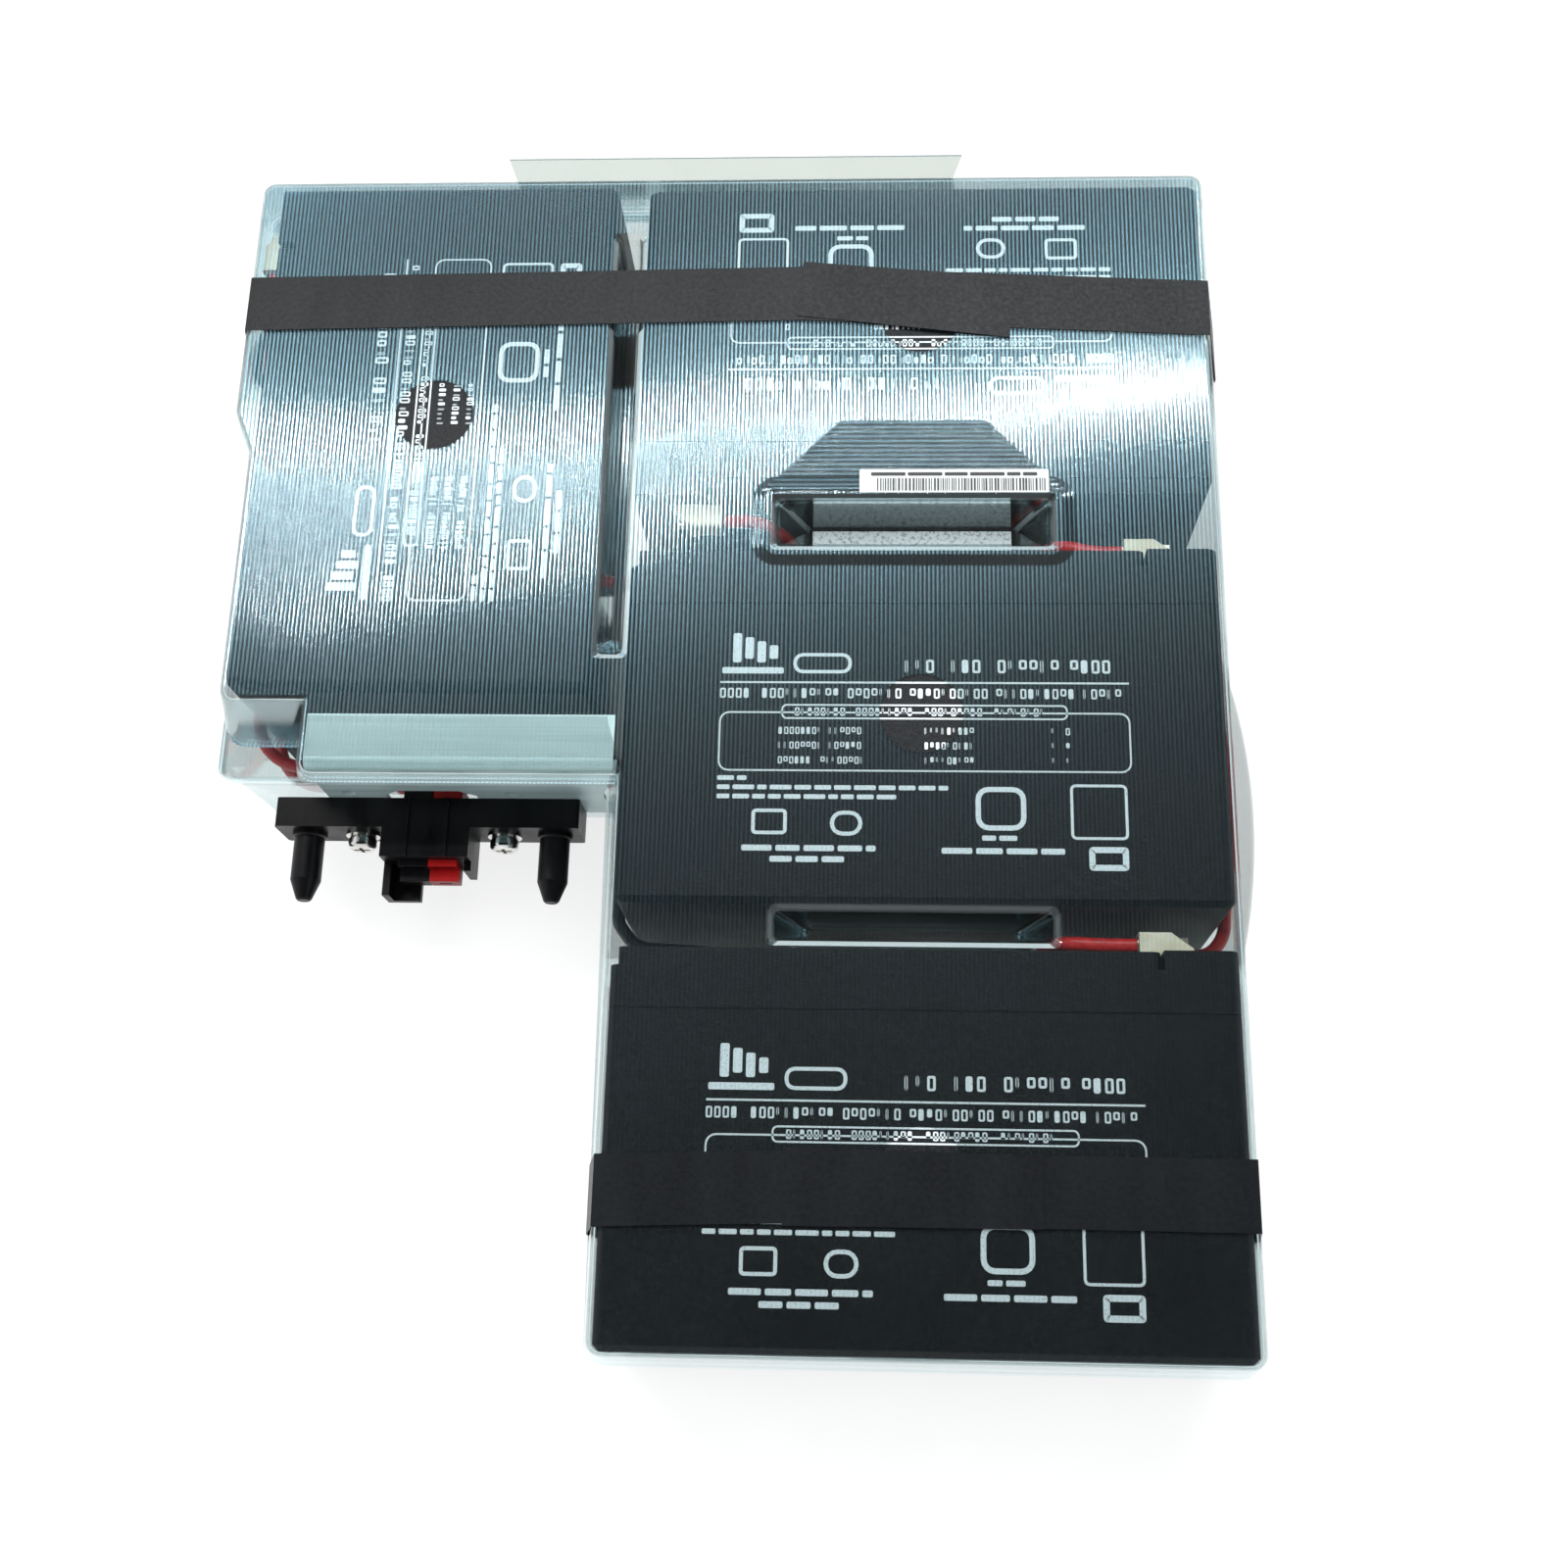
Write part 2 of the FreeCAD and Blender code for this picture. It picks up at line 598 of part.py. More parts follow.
def side_plan():
    """Plan of the side battery's part of the shell, with the room beside the terminals."""
    return [
        (COLUMN_WALL + 10.0, SIDE_FRONT - SIDE_FRONT_ROOM, 0.5),
        (COLUMN_WALL + 10.0, REAR_WALL, 0.5),
        (TERMINAL_WALL, REAR_WALL, CORNER),
        (TERMINAL_WALL, ROOM_START, INNER_CORNER),
        (SIDE_WALL, ROOM_START - TERMINAL_ROOM_SLOPE, INNER_CORNER),
        (SIDE_WALL, SIDE_FRONT - SIDE_FRONT_ROOM, CORNER),
    ]


def cover_plan():
    """Plan of the raised cover over the bracket."""
    return rectangle(COVER_LEFT, COVER_FRONT, COLUMN_WALL + 10.0, SIDE_FRONT + 10.0, CORNER)


def rim_plan():
    """Plan of the ledge and skirt round both shells."""
    left = TERMINAL_WALL - WALL_LEAN
    ledge_left = SIDE_WALL - WALL_LEAN - LEDGE_EXTRA
    column = COLUMN_WALL - WALL_LEAN
    round_corner = CORNER + CORNER_SPREAD * WALL_LEAN
    corners = [
        (column, FRONT_WALL - WALL_LEAN, round_corner),
        (RIGHT_WALL + WALL_LEAN, FRONT_WALL - WALL_LEAN, round_corner),
        (RIGHT_WALL + WALL_LEAN, REAR_WALL + WALL_LEAN, round_corner),
        (left, REAR_WALL + WALL_LEAN, round_corner),
        (left, ROOM_START, INNER_CORNER),
        (ledge_left, ROOM_START - TERMINAL_ROOM_SLOPE, INNER_CORNER),
        (ledge_left, LEDGE_FRONT, LEDGE_CORNER),
        (column, LEDGE_FRONT, INNER_CORNER - CORNER_SPREAD * WALL_LEAN),
    ]
    return front_pulled(corners, 1.0)


def pocket(centre_x, centre_y, sizes, along_y, grow):
    """Formed pocket with a bevelled mouth and ramped ends, grown on every side."""
    length, width, ramp, depth = sizes
    levels = [
        (TOP + 1.0, 0.0, 0.0),
        (TOP - grow, 0.0, 0.0),
        (TOP - POCKET_MOUTH, POCKET_MOUTH, POCKET_MOUTH),
        (TOP - depth - grow, ramp, POCKET_MOUTH + POCKET_LEAN),
    ]
    sections = []
    for z, end_inset, side_inset in levels:
        half_x = length / 2.0 - end_inset + grow
        half_y = width / 2.0 - side_inset + grow
        if along_y:
            half_x, half_y = half_y, half_x
        corners = rectangle(centre_x - half_x, centre_y - half_y, centre_x + half_x, centre_y + half_y,
                            1.2 + grow)
        sections.append(outline(corners, z))
    parts = [Part.makeLoft(sections[i:i + 2], True, True) for i in range(3)]
    return parts[0].fuse(parts[1]).fuse(parts[2]).removeSplitter()


def pockets(grow):
    centre = COLUMN_LEFT + POCKET_CENTRE
    lid_y = (MIDDLE_LID + REAR_LID) / 2.0
    base_y = (MIDDLE_FRONT + COLUMN_FRONT + BLOCK_TOP) / 2.0
    slot_x = (COLUMN_LEFT + SIDE_BASE) / 2.0
    return [
        pocket(centre, lid_y, LID_POCKET, False, grow),
        pocket(centre, base_y, BASE_POCKET, False, grow),
        pocket(slot_x, SIDE_FRONT + SLOT_CENTRE, SLOT_POCKET, True, grow),
    ]


def upper_form(step):
    """Block that the film is drawn over, moved inwards by step."""
    bottom = RIM_Z - step
    cover = leaning(cover_plan(), step, bottom)
    cover = cover.cut(block(COVER_LEFT - 20, COVER_FRONT - 20, bottom - 1, COLUMN_WALL + 20,
                            LEDGE_FRONT + step, COVER_BOTTOM))
    form = leaning(column_plan(), step, bottom, True).fuse([leaning(side_plan(), step, bottom), cover])
    form = form.removeSplitter()
    form = form.makeFillet(TOP_ROUND - step, edges_at(form, TOP - step))
    skirt = plate(inset(rim_plan(), step), SKIRT_Z - step, bottom)
    form = form.fuse(skirt)
    for hollow in pockets(step):
        form = form.cut(hollow)
    return form.removeSplitter()


def window_centres():
    for step in (-1, 0, 1):
        yield COLUMN_LEFT + WINDOW_X, COLUMN_FRONT + WINDOW_Y + step * WINDOW_PITCH
    yield SIDE_BASE - SIDE_WINDOW[0], SIDE_FRONT + SIDE_WINDOW[1]


def upper_blister():
    shell = upper_form(0).cut(upper_form(FILM))
    lip = block(COVER_LEFT - 20, COVER_FRONT - 20, COVER_BOTTOM - 1, COLUMN_WALL,
                LEDGE_FRONT, COVER_BOTTOM)
    inside = leaning(cover_plan(), FILM, RIM_Z).common(lip)
    shell = shell.cut(inside)
    for x, y in window_centres():
        shell = shell.cut(disc(WINDOW_DIAMETER, 3 * FILM, vec(x, y, TOP - 2 * FILM), vec(0, 0, 1)))
    return shell.removeSplitter()


# ================================================================ lower shell
def tray_plan(step, z):
    """Plan of the tray at a height, moved inwards by step."""
    share = (TRAY_RIM - z) / (TRAY_RIM - TAPE)
    corners = inset(inset(rim_plan(), FILM + NEST), TRAY_LEAN * share, CORNER_SPREAD)
    pull_x, pull_y = FRONT_PULL
    left = (TRAY_LEFT_LEAN - TRAY_LEAN) * share
    front = (TRAY_FRONT_LEAN - TRAY_LEAN) * share
    corners = moved(corners, 0, -pull_x * share, -pull_y * share)
    corners = moved(corners, 1, pull_x * share, -pull_y * share)
    for index in (3, 4, 5):
        corners = moved(corners, index, left, 0.0)
    corners = moved(corners, 6, left, front)
    corners = moved(corners, 7, 0.0, front)
    return inset(corners, step)


def tray_bow(step):
    """Part of a cone that bows the tray's wall out beside the middle battery."""
    radius = (BOW_CHORD ** 2 / 4.0 + BOW_REACH ** 2) / (2.0 * BOW_REACH)
    crest_x = RIGHT_WALL + WALL_LEAN - FILM - NEST + BOW_REACH
    centre = COLUMN_FRONT + BOW_CENTRE
    sections = []
    for z, lean in ((TAPE + BOW_FLOOR + step, TRAY_LEAN), (BOW_TOP, 0.0)):
        depth = crest_x - lean - step - RIGHT_WALL + BOW_ROOT
        half = math.sqrt(2.0 * radius * depth - depth ** 2)
        root = crest_x - lean - step - depth
        start = vec(root, centre - half, z)
        end = vec(root, centre + half, z)
        crest = vec(root + depth, centre, z)
        arc = Part.Arc(start, crest, end).toShape()
        chord = Part.LineSegment(end, start).toShape()
        sections.append(Part.Wire([arc, chord]))
    return Part.makeLoft(sections, True, True)


def tray_form(step):
    levels = [
        (TAPE + step, TRAY_EDGE - step * 0.4),
        (TAPE + TRAY_EDGE + step * 0.6, 0.0),
        (TRAY_RIM, 0.0),
    ]
    sections = [outline(tray_plan(step + extra, z), z) for z, extra in levels]
    form = Part.makeLoft(sections, True, True)
    bow = tray_bow(step)
    return form.fuse(bow).removeSplitter()


def lower_blister():
    shell = tray_form(0).cut(tray_form(FILM))
    window = block(-WINDOW_WIDTH / 2.0, 0, WINDOW_BOTTOM, WINDOW_WIDTH / 2.0, SIDE_FRONT - 9.0,
                   TRAY_RIM + 1)
    shell = shell.cut(window)
    return shell.removeSplitter()


# ================================================================ plug end
def plug_bracket():
    """Bent strip: a flange under the upper shell and a web that carries the plug."""
    back = CARRIER_DEPTH
    top = TOP - FILM
    wall = BRACKET_WALL
    flange = block(BRACKET_LEFT, back, top - wall, BRACKET_RIGHT, back + BRACKET_DEPTH, top)
    web = block(BRACKET_LEFT, back, WEB_BOTTOM, BRACKET_RIGHT, back + wall, top)
    bracket = flange.fuse(web).removeSplitter()
    length = BRACKET_RIGHT - BRACKET_LEFT
    outer = [e for e in bracket.Edges if abs(e.Length - length) < 1e-6
             and abs(e.CenterOfMass.y - back) < 1e-6 and abs(e.CenterOfMass.z - top) < 1e-6]
    bracket = bracket.makeFillet(BRACKET_BEND, outer)
    inner = [e for e in bracket.Edges if abs(e.Length - length) < 1e-6
             and abs(e.CenterOfMass.y - back - wall) < 1e-6 and abs(e.CenterOfMass.z - top + wall) < 1e-6]
    bracket = bracket.makeFillet(BRACKET_BEND - wall, inner)
    width, notch_top, cut = WEB_NOTCH
    half = width / 2.0
    notch = [
        (WEB_NOTCH_X - half, WEB_BOTTOM - 1), (WEB_NOTCH_X + half, WEB_BOTTOM - 1),
        (WEB_NOTCH_X + half, notch_top - cut), (WEB_NOTCH_X + half - cut, notch_top),
        (WEB_NOTCH_X - half + cut, notch_top), (WEB_NOTCH_X - half, notch_top - cut),
    ]
    opening = bar_y([(x, z, 0) for x, z in notch], back - 1, back + wall + 1)
    bracket = bracket.cut(opening)
    room = inset(column_plan(), -BRACKET_CLEAR)
    bracket = bracket.cut(leaning(room, 0, RIM_Z))
    rim_x = COLUMN_WALL - WALL_LEAN - BRACKET_CLEAR
    bracket = bracket.cut(block(rim_x, 0, WEB_BOTTOM - 1, rim_x + 20, SIDE_FRONT, RIM_Z))
    for x in WEB_HOLE_X:
        bracket = bracket.cut(disc(WEB_HOLE, wall + 2, vec(x, back - 1, WEB_HOLE_Z), vec(0, 1, 0)))
    for x in screw_places():
        bracket = bracket.cut(disc(SCREW_HOLE, wall + 2, vec(x, back - 1, PLUG_Z), vec(0, 1, 0)))
    return bracket


def screw_places():
    return (SCREW_SHIFT - SCREW_X, SCREW_SHIFT + SCREW_X)


def guide_pin(x):
    """Guide pin with a collar at its root and a tapered, blunt tip."""
    radius = PIN_DIAMETER / 2.0
    collar, collar_length = PIN_COLLAR
    profile = [
        vec(x, 1.0, PLUG_Z), vec(x + collar / 2.0, 1.0, PLUG_Z),
        vec(x + collar / 2.0, -collar_length + 0.4, PLUG_Z), vec(x + radius, -collar_length, PLUG_Z),
        vec(x + radius, -PIN_LENGTH + PIN_TAPER, PLUG_Z), vec(x + PIN_TIP / 2.0, -PIN_LENGTH + 0.5, PLUG_Z),
        vec(x + PIN_TIP / 2.0 - 0.5, -PIN_LENGTH, PLUG_Z), vec(x, -PIN_LENGTH, PLUG_Z), vec(x, 1.0, PLUG_Z),
    ]
    return Part.Face(Part.makePolygon(profile)).revolve(vec(x, 0, PLUG_Z), vec(0, 1, 0), 360)


def housing_left(index):
    return HOUSING_LEFT + index * HOUSING_SIZE


def plug_carrier():
    """One moulding: flange, two guide pins and the hood that holds both housings."""
    left = CARRIER_SHIFT - CARRIER_LENGTH / 2.0
    right = CARRIER_SHIFT + CARRIER_LENGTH / 2.0
    low = PLUG_Z - CARRIER_HEIGHT / 2.0
    high = PLUG_Z + CARRIER_HEIGHT / 2.0
    body = bar_y(rectangle(left, low, right, high, CARRIER_ROUND), 0, CARRIER_DEPTH)
    hood = block(HOOD_LEFT, -HOOD_FRONT, low, HOOD_RIGHT, 1, high)
    body = body.fuse(hood)
    rib_width, rib_height = HOOD_RIB
    for x in (HOOD_LEFT + 6.7, HOOD_RIGHT - 6.2):
        rib = block(x - rib_width / 2.0, -HOOD_FRONT, high - 0.5, x + rib_width / 2.0, CARRIER_DEPTH,
                    high + rib_height)
        body = body.fuse(rib)
    side_lip = block(HOOD_LEFT, -LIP_FRONT, low, HOOD_LEFT + HOOD_WALL, 1, PLUG_Z + 1.0)
    foot_lip = block(HOOD_LEFT, -LIP_FRONT, low, HOOD_LEFT + LIP_WIDTH, 1, low + HOOD_WALL)
    right_lip = block(HOOD_RIGHT - HOOD_WALL, -HOOD_FRONT - 2.5, low, HOOD_RIGHT, 1, PLUG_Z + 2.0)
    body = body.fuse(side_lip).fuse(foot_lip).fuse(right_lip)
    for x in (-PIN_SPACING / 2.0, PIN_SPACING / 2.0):
        body = body.fuse(guide_pin(x))
    body = body.removeSplitter()
    for index in (0, 1):
        body = body.cut(housing_block(index, 0.0))
    room = block(housing_left(0), -HOOD_FRONT - 1, PLUG_Z - HOUSING_SIZE / 2.0,
                 housing_left(0) + 2 * HOUSING_SIZE, CARRIER_DEPTH + 1, PLUG_Z + HOUSING_SIZE / 2.0)
    body = body.cut(room)
    for x in screw_places():
        body = body.cut(disc(SCREW_HOLE, CARRIER_DEPTH + 2, vec(x, -1, PLUG_Z), vec(0, 1, 0)))
    return body


def housing_block(index, grow):
    left = housing_left(index)
    return block(left, -HOUSING_FRONT, PLUG_Z - HOUSING_SIZE / 2.0 - grow,
                 left + HOUSING_SIZE, HOUSING_LENGTH - HOUSING_FRONT, PLUG_Z + HOUSING_SIZE / 2.0 + grow)


def plug_housing(index):
    """Single-pole housing: a square tube with a stepped nose, open towards its wire."""
    left = housing_left(index)
    centre = left + HOUSING_SIZE / 2.0
    half = HOUSING_SIZE / 2.0
    body = housing_block(index, 0.0)
    lengthwise = [e for e in body.Edges if abs(e.Length - HOUSING_LENGTH) < 1e-6]
    body = body.makeFillet(0.5, lengthwise)
    step = block(left - 1, -HOUSING_FRONT - 1, PLUG_Z + 0.4, left + HOUSING_SIZE + 1,
                 -HOUSING_FRONT + HOUSING_NOSE, PLUG_Z + half + 1)
    body = body.cut(step)
    inner = half - HOUSING_WALL
    rear_room = block(centre - inner, -HOUSING_FRONT + 9.0, PLUG_Z - inner,
                      centre + inner, HOUSING_LENGTH - HOUSING_FRONT + 1, PLUG_Z + inner)
    tongue_room = block(centre - inner, -HOUSING_FRONT + 1.2, PLUG_Z - inner + 0.6,
                        centre + inner, -HOUSING_FRONT + 9.5, PLUG_Z - 0.1)
    mouth = block(centre - inner, -HOUSING_FRONT - 1, PLUG_Z + 1.2, centre + inner,
                  -HOUSING_FRONT + 9.5, PLUG_Z + inner)
    slot = block(centre - 1.6, -HOUSING_FRONT - 1, PLUG_Z - inner + 0.6, centre + 1.6,
                 -HOUSING_FRONT + 2, PLUG_Z - 1.4)
    return body.cut(rear_room).cut(tongue_room).cut(mouth).cut(slot)


def plug_contact(index):
    """Flat contact tongue with its crimp barrel, inside a housing."""
    centre = housing_left(index) + HOUSING_SIZE / 2.0
    diameter, length = CONTACT_BARREL
    start = -HOUSING_FRONT + 11.0
    barrel = disc(diameter, length, vec(centre, start, PLUG_Z), vec(0, 1, 0))
    bore = disc(diameter - 1.2, length - 1.5, vec(centre, start + 1.5, PLUG_Z), vec(0, 1, 0))
    floor = PLUG_Z - HOUSING_SIZE / 2.0 + HOUSING_WALL + 0.6
    tongue = block(centre - CONTACT_WIDTH / 2.0, -HOUSING_FRONT + 1.6, floor,
                   centre + CONTACT_WIDTH / 2.0, start + 1.0, floor + CONTACT_THICKNESS)
    return barrel.cut(bore).fuse(tongue)


def contact_rear(index):
    """Where a lead meets its contact's barrel."""
    centre = housing_left(index) + HOUSING_SIZE / 2.0
    return (centre, -HOUSING_FRONT + 11.0 + CONTACT_BARREL[1], PLUG_Z)


def ring(outer, inner, thickness, x, y):
    body = disc(outer, thickness, vec(x, y, PLUG_Z), vec(0, 1, 0))
    return body.cut(disc(inner, thickness + 2, vec(x, y - 1, PLUG_Z), vec(0, 1, 0)))


def carrier_screw(x):
    """Pan-head screw with a cross recess, through both washers into its nut."""
    seat = -WASHER[1] - SPRING_WASHER[1]
    head = disc(HEAD_DIAMETER, HEAD_HEIGHT, vec(x, seat - HEAD_HEIGHT, PLUG_Z), vec(0, 1, 0))
    rim = [e for e in head.Edges if all(abs(v.Point.y - seat + HEAD_HEIGHT) < 1e-6 for v in e.Vertexes)]
    head = head.makeFillet(1.3, rim)
    for width, height in ((4.2, 0.9), (0.9, 4.2)):
        head = head.cut(block(x - width / 2.0, seat - HEAD_HEIGHT - 1, PLUG_Z - height / 2.0,
                              x + width / 2.0, seat - HEAD_HEIGHT + 1.3, PLUG_Z + height / 2.0))
    reach = CARRIER_DEPTH + BRACKET_WALL + NUT_HEIGHT + 0.6 - seat
    shank = disc(SCREW_DIAMETER - 2 * THREAD_GAP, reach, vec(x, seat, PLUG_Z), vec(0, 1, 0))
    return head.fuse(shank)


def fasteners():
    screws = []
    springs = []
    washers = []
    nuts = []
    for x in screw_places():
        screws.append(carrier_screw(x))
        washers.append(ring(WASHER[0], SCREW_HOLE, WASHER[1], x, -WASHER[1]))
        springs.append(ring(SPRING_WASHER[0], SCREW_HOLE, SPRING_WASHER[1], x,
                            -WASHER[1] - SPRING_WASHER[1]))
        nuts.append(ring(NUT_DIAMETER, SCREW_DIAMETER, NUT_HEIGHT, x, CARRIER_DEPTH + BRACKET_WALL))
    return {
        "carrier_screws": Part.makeCompound(screws),
        "carrier_spring_washers": Part.makeCompound(springs),
        "carrier_flat_washers": Part.makeCompound(washers),
        "clinch_nuts": Part.makeCompound(nuts),
    }


# ================================================================ wires
def wire_routes():
    """Routes between the blades and the plug, through the gaps between the batteries."""
    column = COLUMN_LEFT
    right = COLUMN_LEFT + BATTERY_LENGTH
    side = SIDE_LID - 2.0
    front = SIDE_FRONT
    gap = COLUMN_FRONT + BLOCK_TOP
    lids = MIDDLE_LID
    routes = {}
    start, near = wire_end("side_battery", "positive")
    routes["positive_lead"] = [
        start, near, (side - 1.6, front + 97, 51), (side - 1, front + 72, 37), (side - 0.6, front + 42, 31),
        (side - 0.6, front - 7.5, 30), (side + 26, front - 9.5, 26), (-6, front - 6.5, 26.5),
        (5.5, front - 4.8, 28), (contact_rear(1)[0], front - 15, PLUG_Z - 0.2), contact_rear(1),
    ]
    start, near = wire_end("front_battery", "negative")
    routes["negative_lead"] = [
        start, near, (column + 86, gap + 4.5, 18), (column + 46, gap + 5.2, 27),
        (column + 14, gap + 5.4, 35.5),
        (column + 2.5, gap + 5.4, 38), (column - 2.3, gap + 12, 38.5), (column - 2.2, front - 50, 38.9),
        (column - 2.3, front - 15, 38.5), (column - 8, front - 7, 38.3), (column - 35, front - 5.8, 38),
        (8, front - 5, 37.6), (contact_rear(0)[0], front - 8.5, 34.6), contact_rear(0),
    ]
    start, near = wire_end("side_battery", "negative")
    end, before_end = wire_end("rear_battery", "positive")
    slot = (COLUMN_LEFT + SIDE_BASE) / 2.0
    routes["jumper_side_to_rear"] = [
        start, near, (side - 0.8, front + 90, 10.6), (side, front + 50, 11), (side - 0.3, front - 8.5, 12),
        (side + 30, front - 9.4, 12.4), (side + 70, front - 8.8, 12), (slot - 3, front - 7.4, 13),
        (slot, front + 3, 15), (slot + 0.4, lids - 8, 25), (slot + 0.4, lids + 7.4, 27),
        (slot + 9, lids + 9.6, 27.6), (column + 34, lids + 10.3, 29.5), (column + 43, lids + 11.2, 43),
        before_end, end,
    ]
    start, near = wire_end("rear_battery", "negative")
    end = wire_end("middle_battery", "positive")[0]
    routes["jumper_rear_to_middle"] = [
        start, near, (right - 95, start[1] - 1.8, 20), (right - 67, start[1] - 4.3, 33),
        (right - 47, lids + 7.3, 43.5), (right - 39, lids + 6.6, 54.5), (end[0] - 7, end[1], end[2]), end,
    ]
    start, near = wire_end("middle_battery", "negative")
    end, before_end = wire_end("front_battery", "positive")
    routes["jumper_middle_to_front"] = [
        start, near, (right - 48, lids + 5.8, 12), (right - 55, lids + 7.8, 21),
        (right - 48, lids + 9.8, 31), (right - 33, lids + 10.8, 34),
        (right - 15, lids + 11.3, 35.5), (right - 2, lids + 10.8, 36.8),
        (right + 1.95, lids + 4.8, 37.3), (right + 1.9, lids - 26, 37.0), (right + 4.5, lids - 46, 36.8),
        (right + 4.7, gap + 34, 36.6), (right + 2.6, gap + 18, 36.5), (right + 2.1, gap + 10.4, 36),
        (right - 2, gap + 5.5, 35.7), (right - 17, gap + 5.3, 35.2), (right - 37, gap + 5.5, 35.4),
        (right - 47, gap + 5.4, 43), (right - 41.3, gap + 4.2, 54.5), (end[0] - 8, end[1], end[2]), end,
    ]
    return routes


def wires():
    made = {}
    for name, points in wire_routes().items():
        radii = wire_radii(points, 60.0)
        made[name], length = pipe(points, WIRE, radii)
        section = math.pi * WIRE ** 2 / 4.0
        print(name, "length", round(length, 1), "radii", [round(r, 1) for r in radii],
              "volume ratio", round(made[name].Volume / (section * length), 4))
    return made


# ================================================================ straps, label and flap
def strap(left, left_end, tray_lean, centre_line, lap):
    """Tape round both shells, with its two ends lapped on top."""
    start, turn, end = [COLUMN_FRONT + y for y in centre_line]
    half = STRAP_WIDTH / 2.0
    rear = max(start, turn, end) + half
    pull = FRONT_PULL[0]
    rim_length = REAR_WALL + WALL_LEAN - (FRONT_WALL - WALL_LEAN)
    right_rim = RIGHT_WALL + WALL_LEAN - pull * (REAR_WALL + WALL_LEAN - rear) / rim_length
    left_rim = left - WALL_LEAN + pull * max(0.0, left_end - rear) / (left_end - FRONT_WALL + WALL_LEAN)
    nested = FILM + NEST
    across = [
        (left - WALL_LEAN + nested + tray_lean - TAPE_GAP, TAPE, 0),
        (RIGHT_WALL + WALL_LEAN - nested - TRAY_LEAN + TAPE_GAP, TAPE, 0),
        (right_rim + TAPE_GAP, SKIRT_Z, 0), (right_rim + TAPE_GAP, RIM_Z, 0),
        (RIGHT_WALL + TAPE_GAP, TOP, 0), (left - TAPE_GAP, TOP, 0),
        (left_rim - TAPE_GAP, RIM_Z, 0), (left_rim - TAPE_GAP, SKIRT_Z, 0),
    ]
    band = bar_y(inset(across, -TAPE), FRONT_WALL, REAR_WALL)
    band = band.cut(bar_y(across, FRONT_WALL - 1, REAR_WALL + 1))
    bend = COLUMN_LEFT + LAP_X
    far_left = left_rim - 5.0
    far_right = right_rim + 5.0
    plan = [(far_left, start - half, 0), (bend, turn - half, 0), (far_right, end - half, 0),
            (far_right, end + half, 0), (bend, turn + half, 0), (far_left, start + half, 0)]
    band = band.common(plate(plan, -2, TOP + 5))
    patch = [(COLUMN_LEFT + x, COLUMN_FRONT + y, 0) for x, y in lap]
    return band.fuse(plate(patch, TOP + TAPE, TOP + 2 * TAPE))


def straps():
    return {
        "rear_strap": strap(TERMINAL_WALL, SIDE_FRONT, TRAY_LEFT_LEAN, REAR_STRAP, REAR_LAP),
        "front_strap": strap(COLUMN_WALL, LEDGE_FRONT, TRAY_LEAN, FRONT_STRAP, FRONT_LAP),
    }


def bar_label():
    x = COLUMN_LEFT + LABEL_AT[0]
    y = REAR_LID + LABEL_AT[1]
    return plate(rectangle(x, y, x + LABEL[0], y + LABEL[1], 0.5), TOP, TOP + LABEL[2])


def pull_flap():
    """Clear film glued to the upper shell's rear wall, with a flared lip that stands out."""
    def wall(z):
        return REAR_WALL + LEAN_ANGLE * (TOP - z)

    low = TOP - FLAP_START - FLAP_LEG
    high = TOP - FLAP_START
    tip = REAR_WALL + FLAP_REACH
    centre = COLUMN_LEFT + FLAP_CENTRE
    half = FLAP_WIDTH / 2.0
    profile = [(wall(low), low), (wall(low) + FLAP_FILM, low), (wall(high) + FLAP_FILM, high - FLAP_FILM),
               (tip, TOP - FLAP_TIP_DROP - FLAP_FILM), (tip, TOP - FLAP_TIP_DROP), (wall(high), high)]
    left = centre - half - FLAP_FLARE
    points = [vec(left, y, z) for y, z in profile + profile[:1]]
    sheet = Part.Face(Part.makePolygon(points)).extrude(vec(FLAP_WIDTH + 2 * FLAP_FLARE, 0, 0))
    root = wall(high) + FLAP_FILM
    plan = [(centre - half, REAR_WALL, 0), (centre + half, REAR_WALL, 0), (centre + half, root, 0),
            (centre + half + FLAP_FLARE, tip, 0), (centre - half - FLAP_FLARE, tip, 0),
            (centre - half, root, 0)]
    return sheet.common(plate(plan, RIM_Z, TOP + 5))


# ================================================================ the whole cartridge
def build():
    nodes = {}
    for name, shape in battery_parts().items():
        for battery in BATTERIES:
            nodes[battery + "_" + name] = placed(shape, battery)
    nodes["receptacles"], nodes["receptacle_sleeves"] = receptacle_sets()
    nodes["upper_blister"] = upper_blister()
    nodes["lower_blister"] = lower_blister()
    nodes["plug_bracket"] = plug_bracket()
    nodes["plug_carrier"] = plug_carrier()
    nodes["negative_plug_housing"] = plug_housing(0)
    nodes["positive_plug_housing"] = plug_housing(1)
    nodes["negative_plug_contact"] = plug_contact(0)
    nodes["positive_plug_contact"] = plug_contact(1)
    nodes.update(fasteners())
    nodes.update(wires())
    nodes.update(straps())
    nodes["bar_label"] = bar_label()
    nodes["pull_flap"] = pull_flap()
    return nodes


os.makedirs("parts", exist_ok=True)
for node, shape in build().items():
    shape.exportStep("parts/" + node + ".step")
    print(node, "solids", len(shape.Solids), "valid", shape.isValid(), "volume", round(shape.Volume, 1))
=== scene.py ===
# %% [markdown]
# # A battery cartridge for a UPS, dressed for a studio picture
#
# The cartridge is four sealed lead-acid batteries held between two clear thermoformed
# shells. The construction is finished before this lesson starts: every battery, shell,
# strap, wire and pin is already a solid. Here each of them gets the finish that the real
# piece has, and the print, the label's bars and the film's fine detail are added.

import math
import random

import bpy
from mathutils import Matrix, Vector


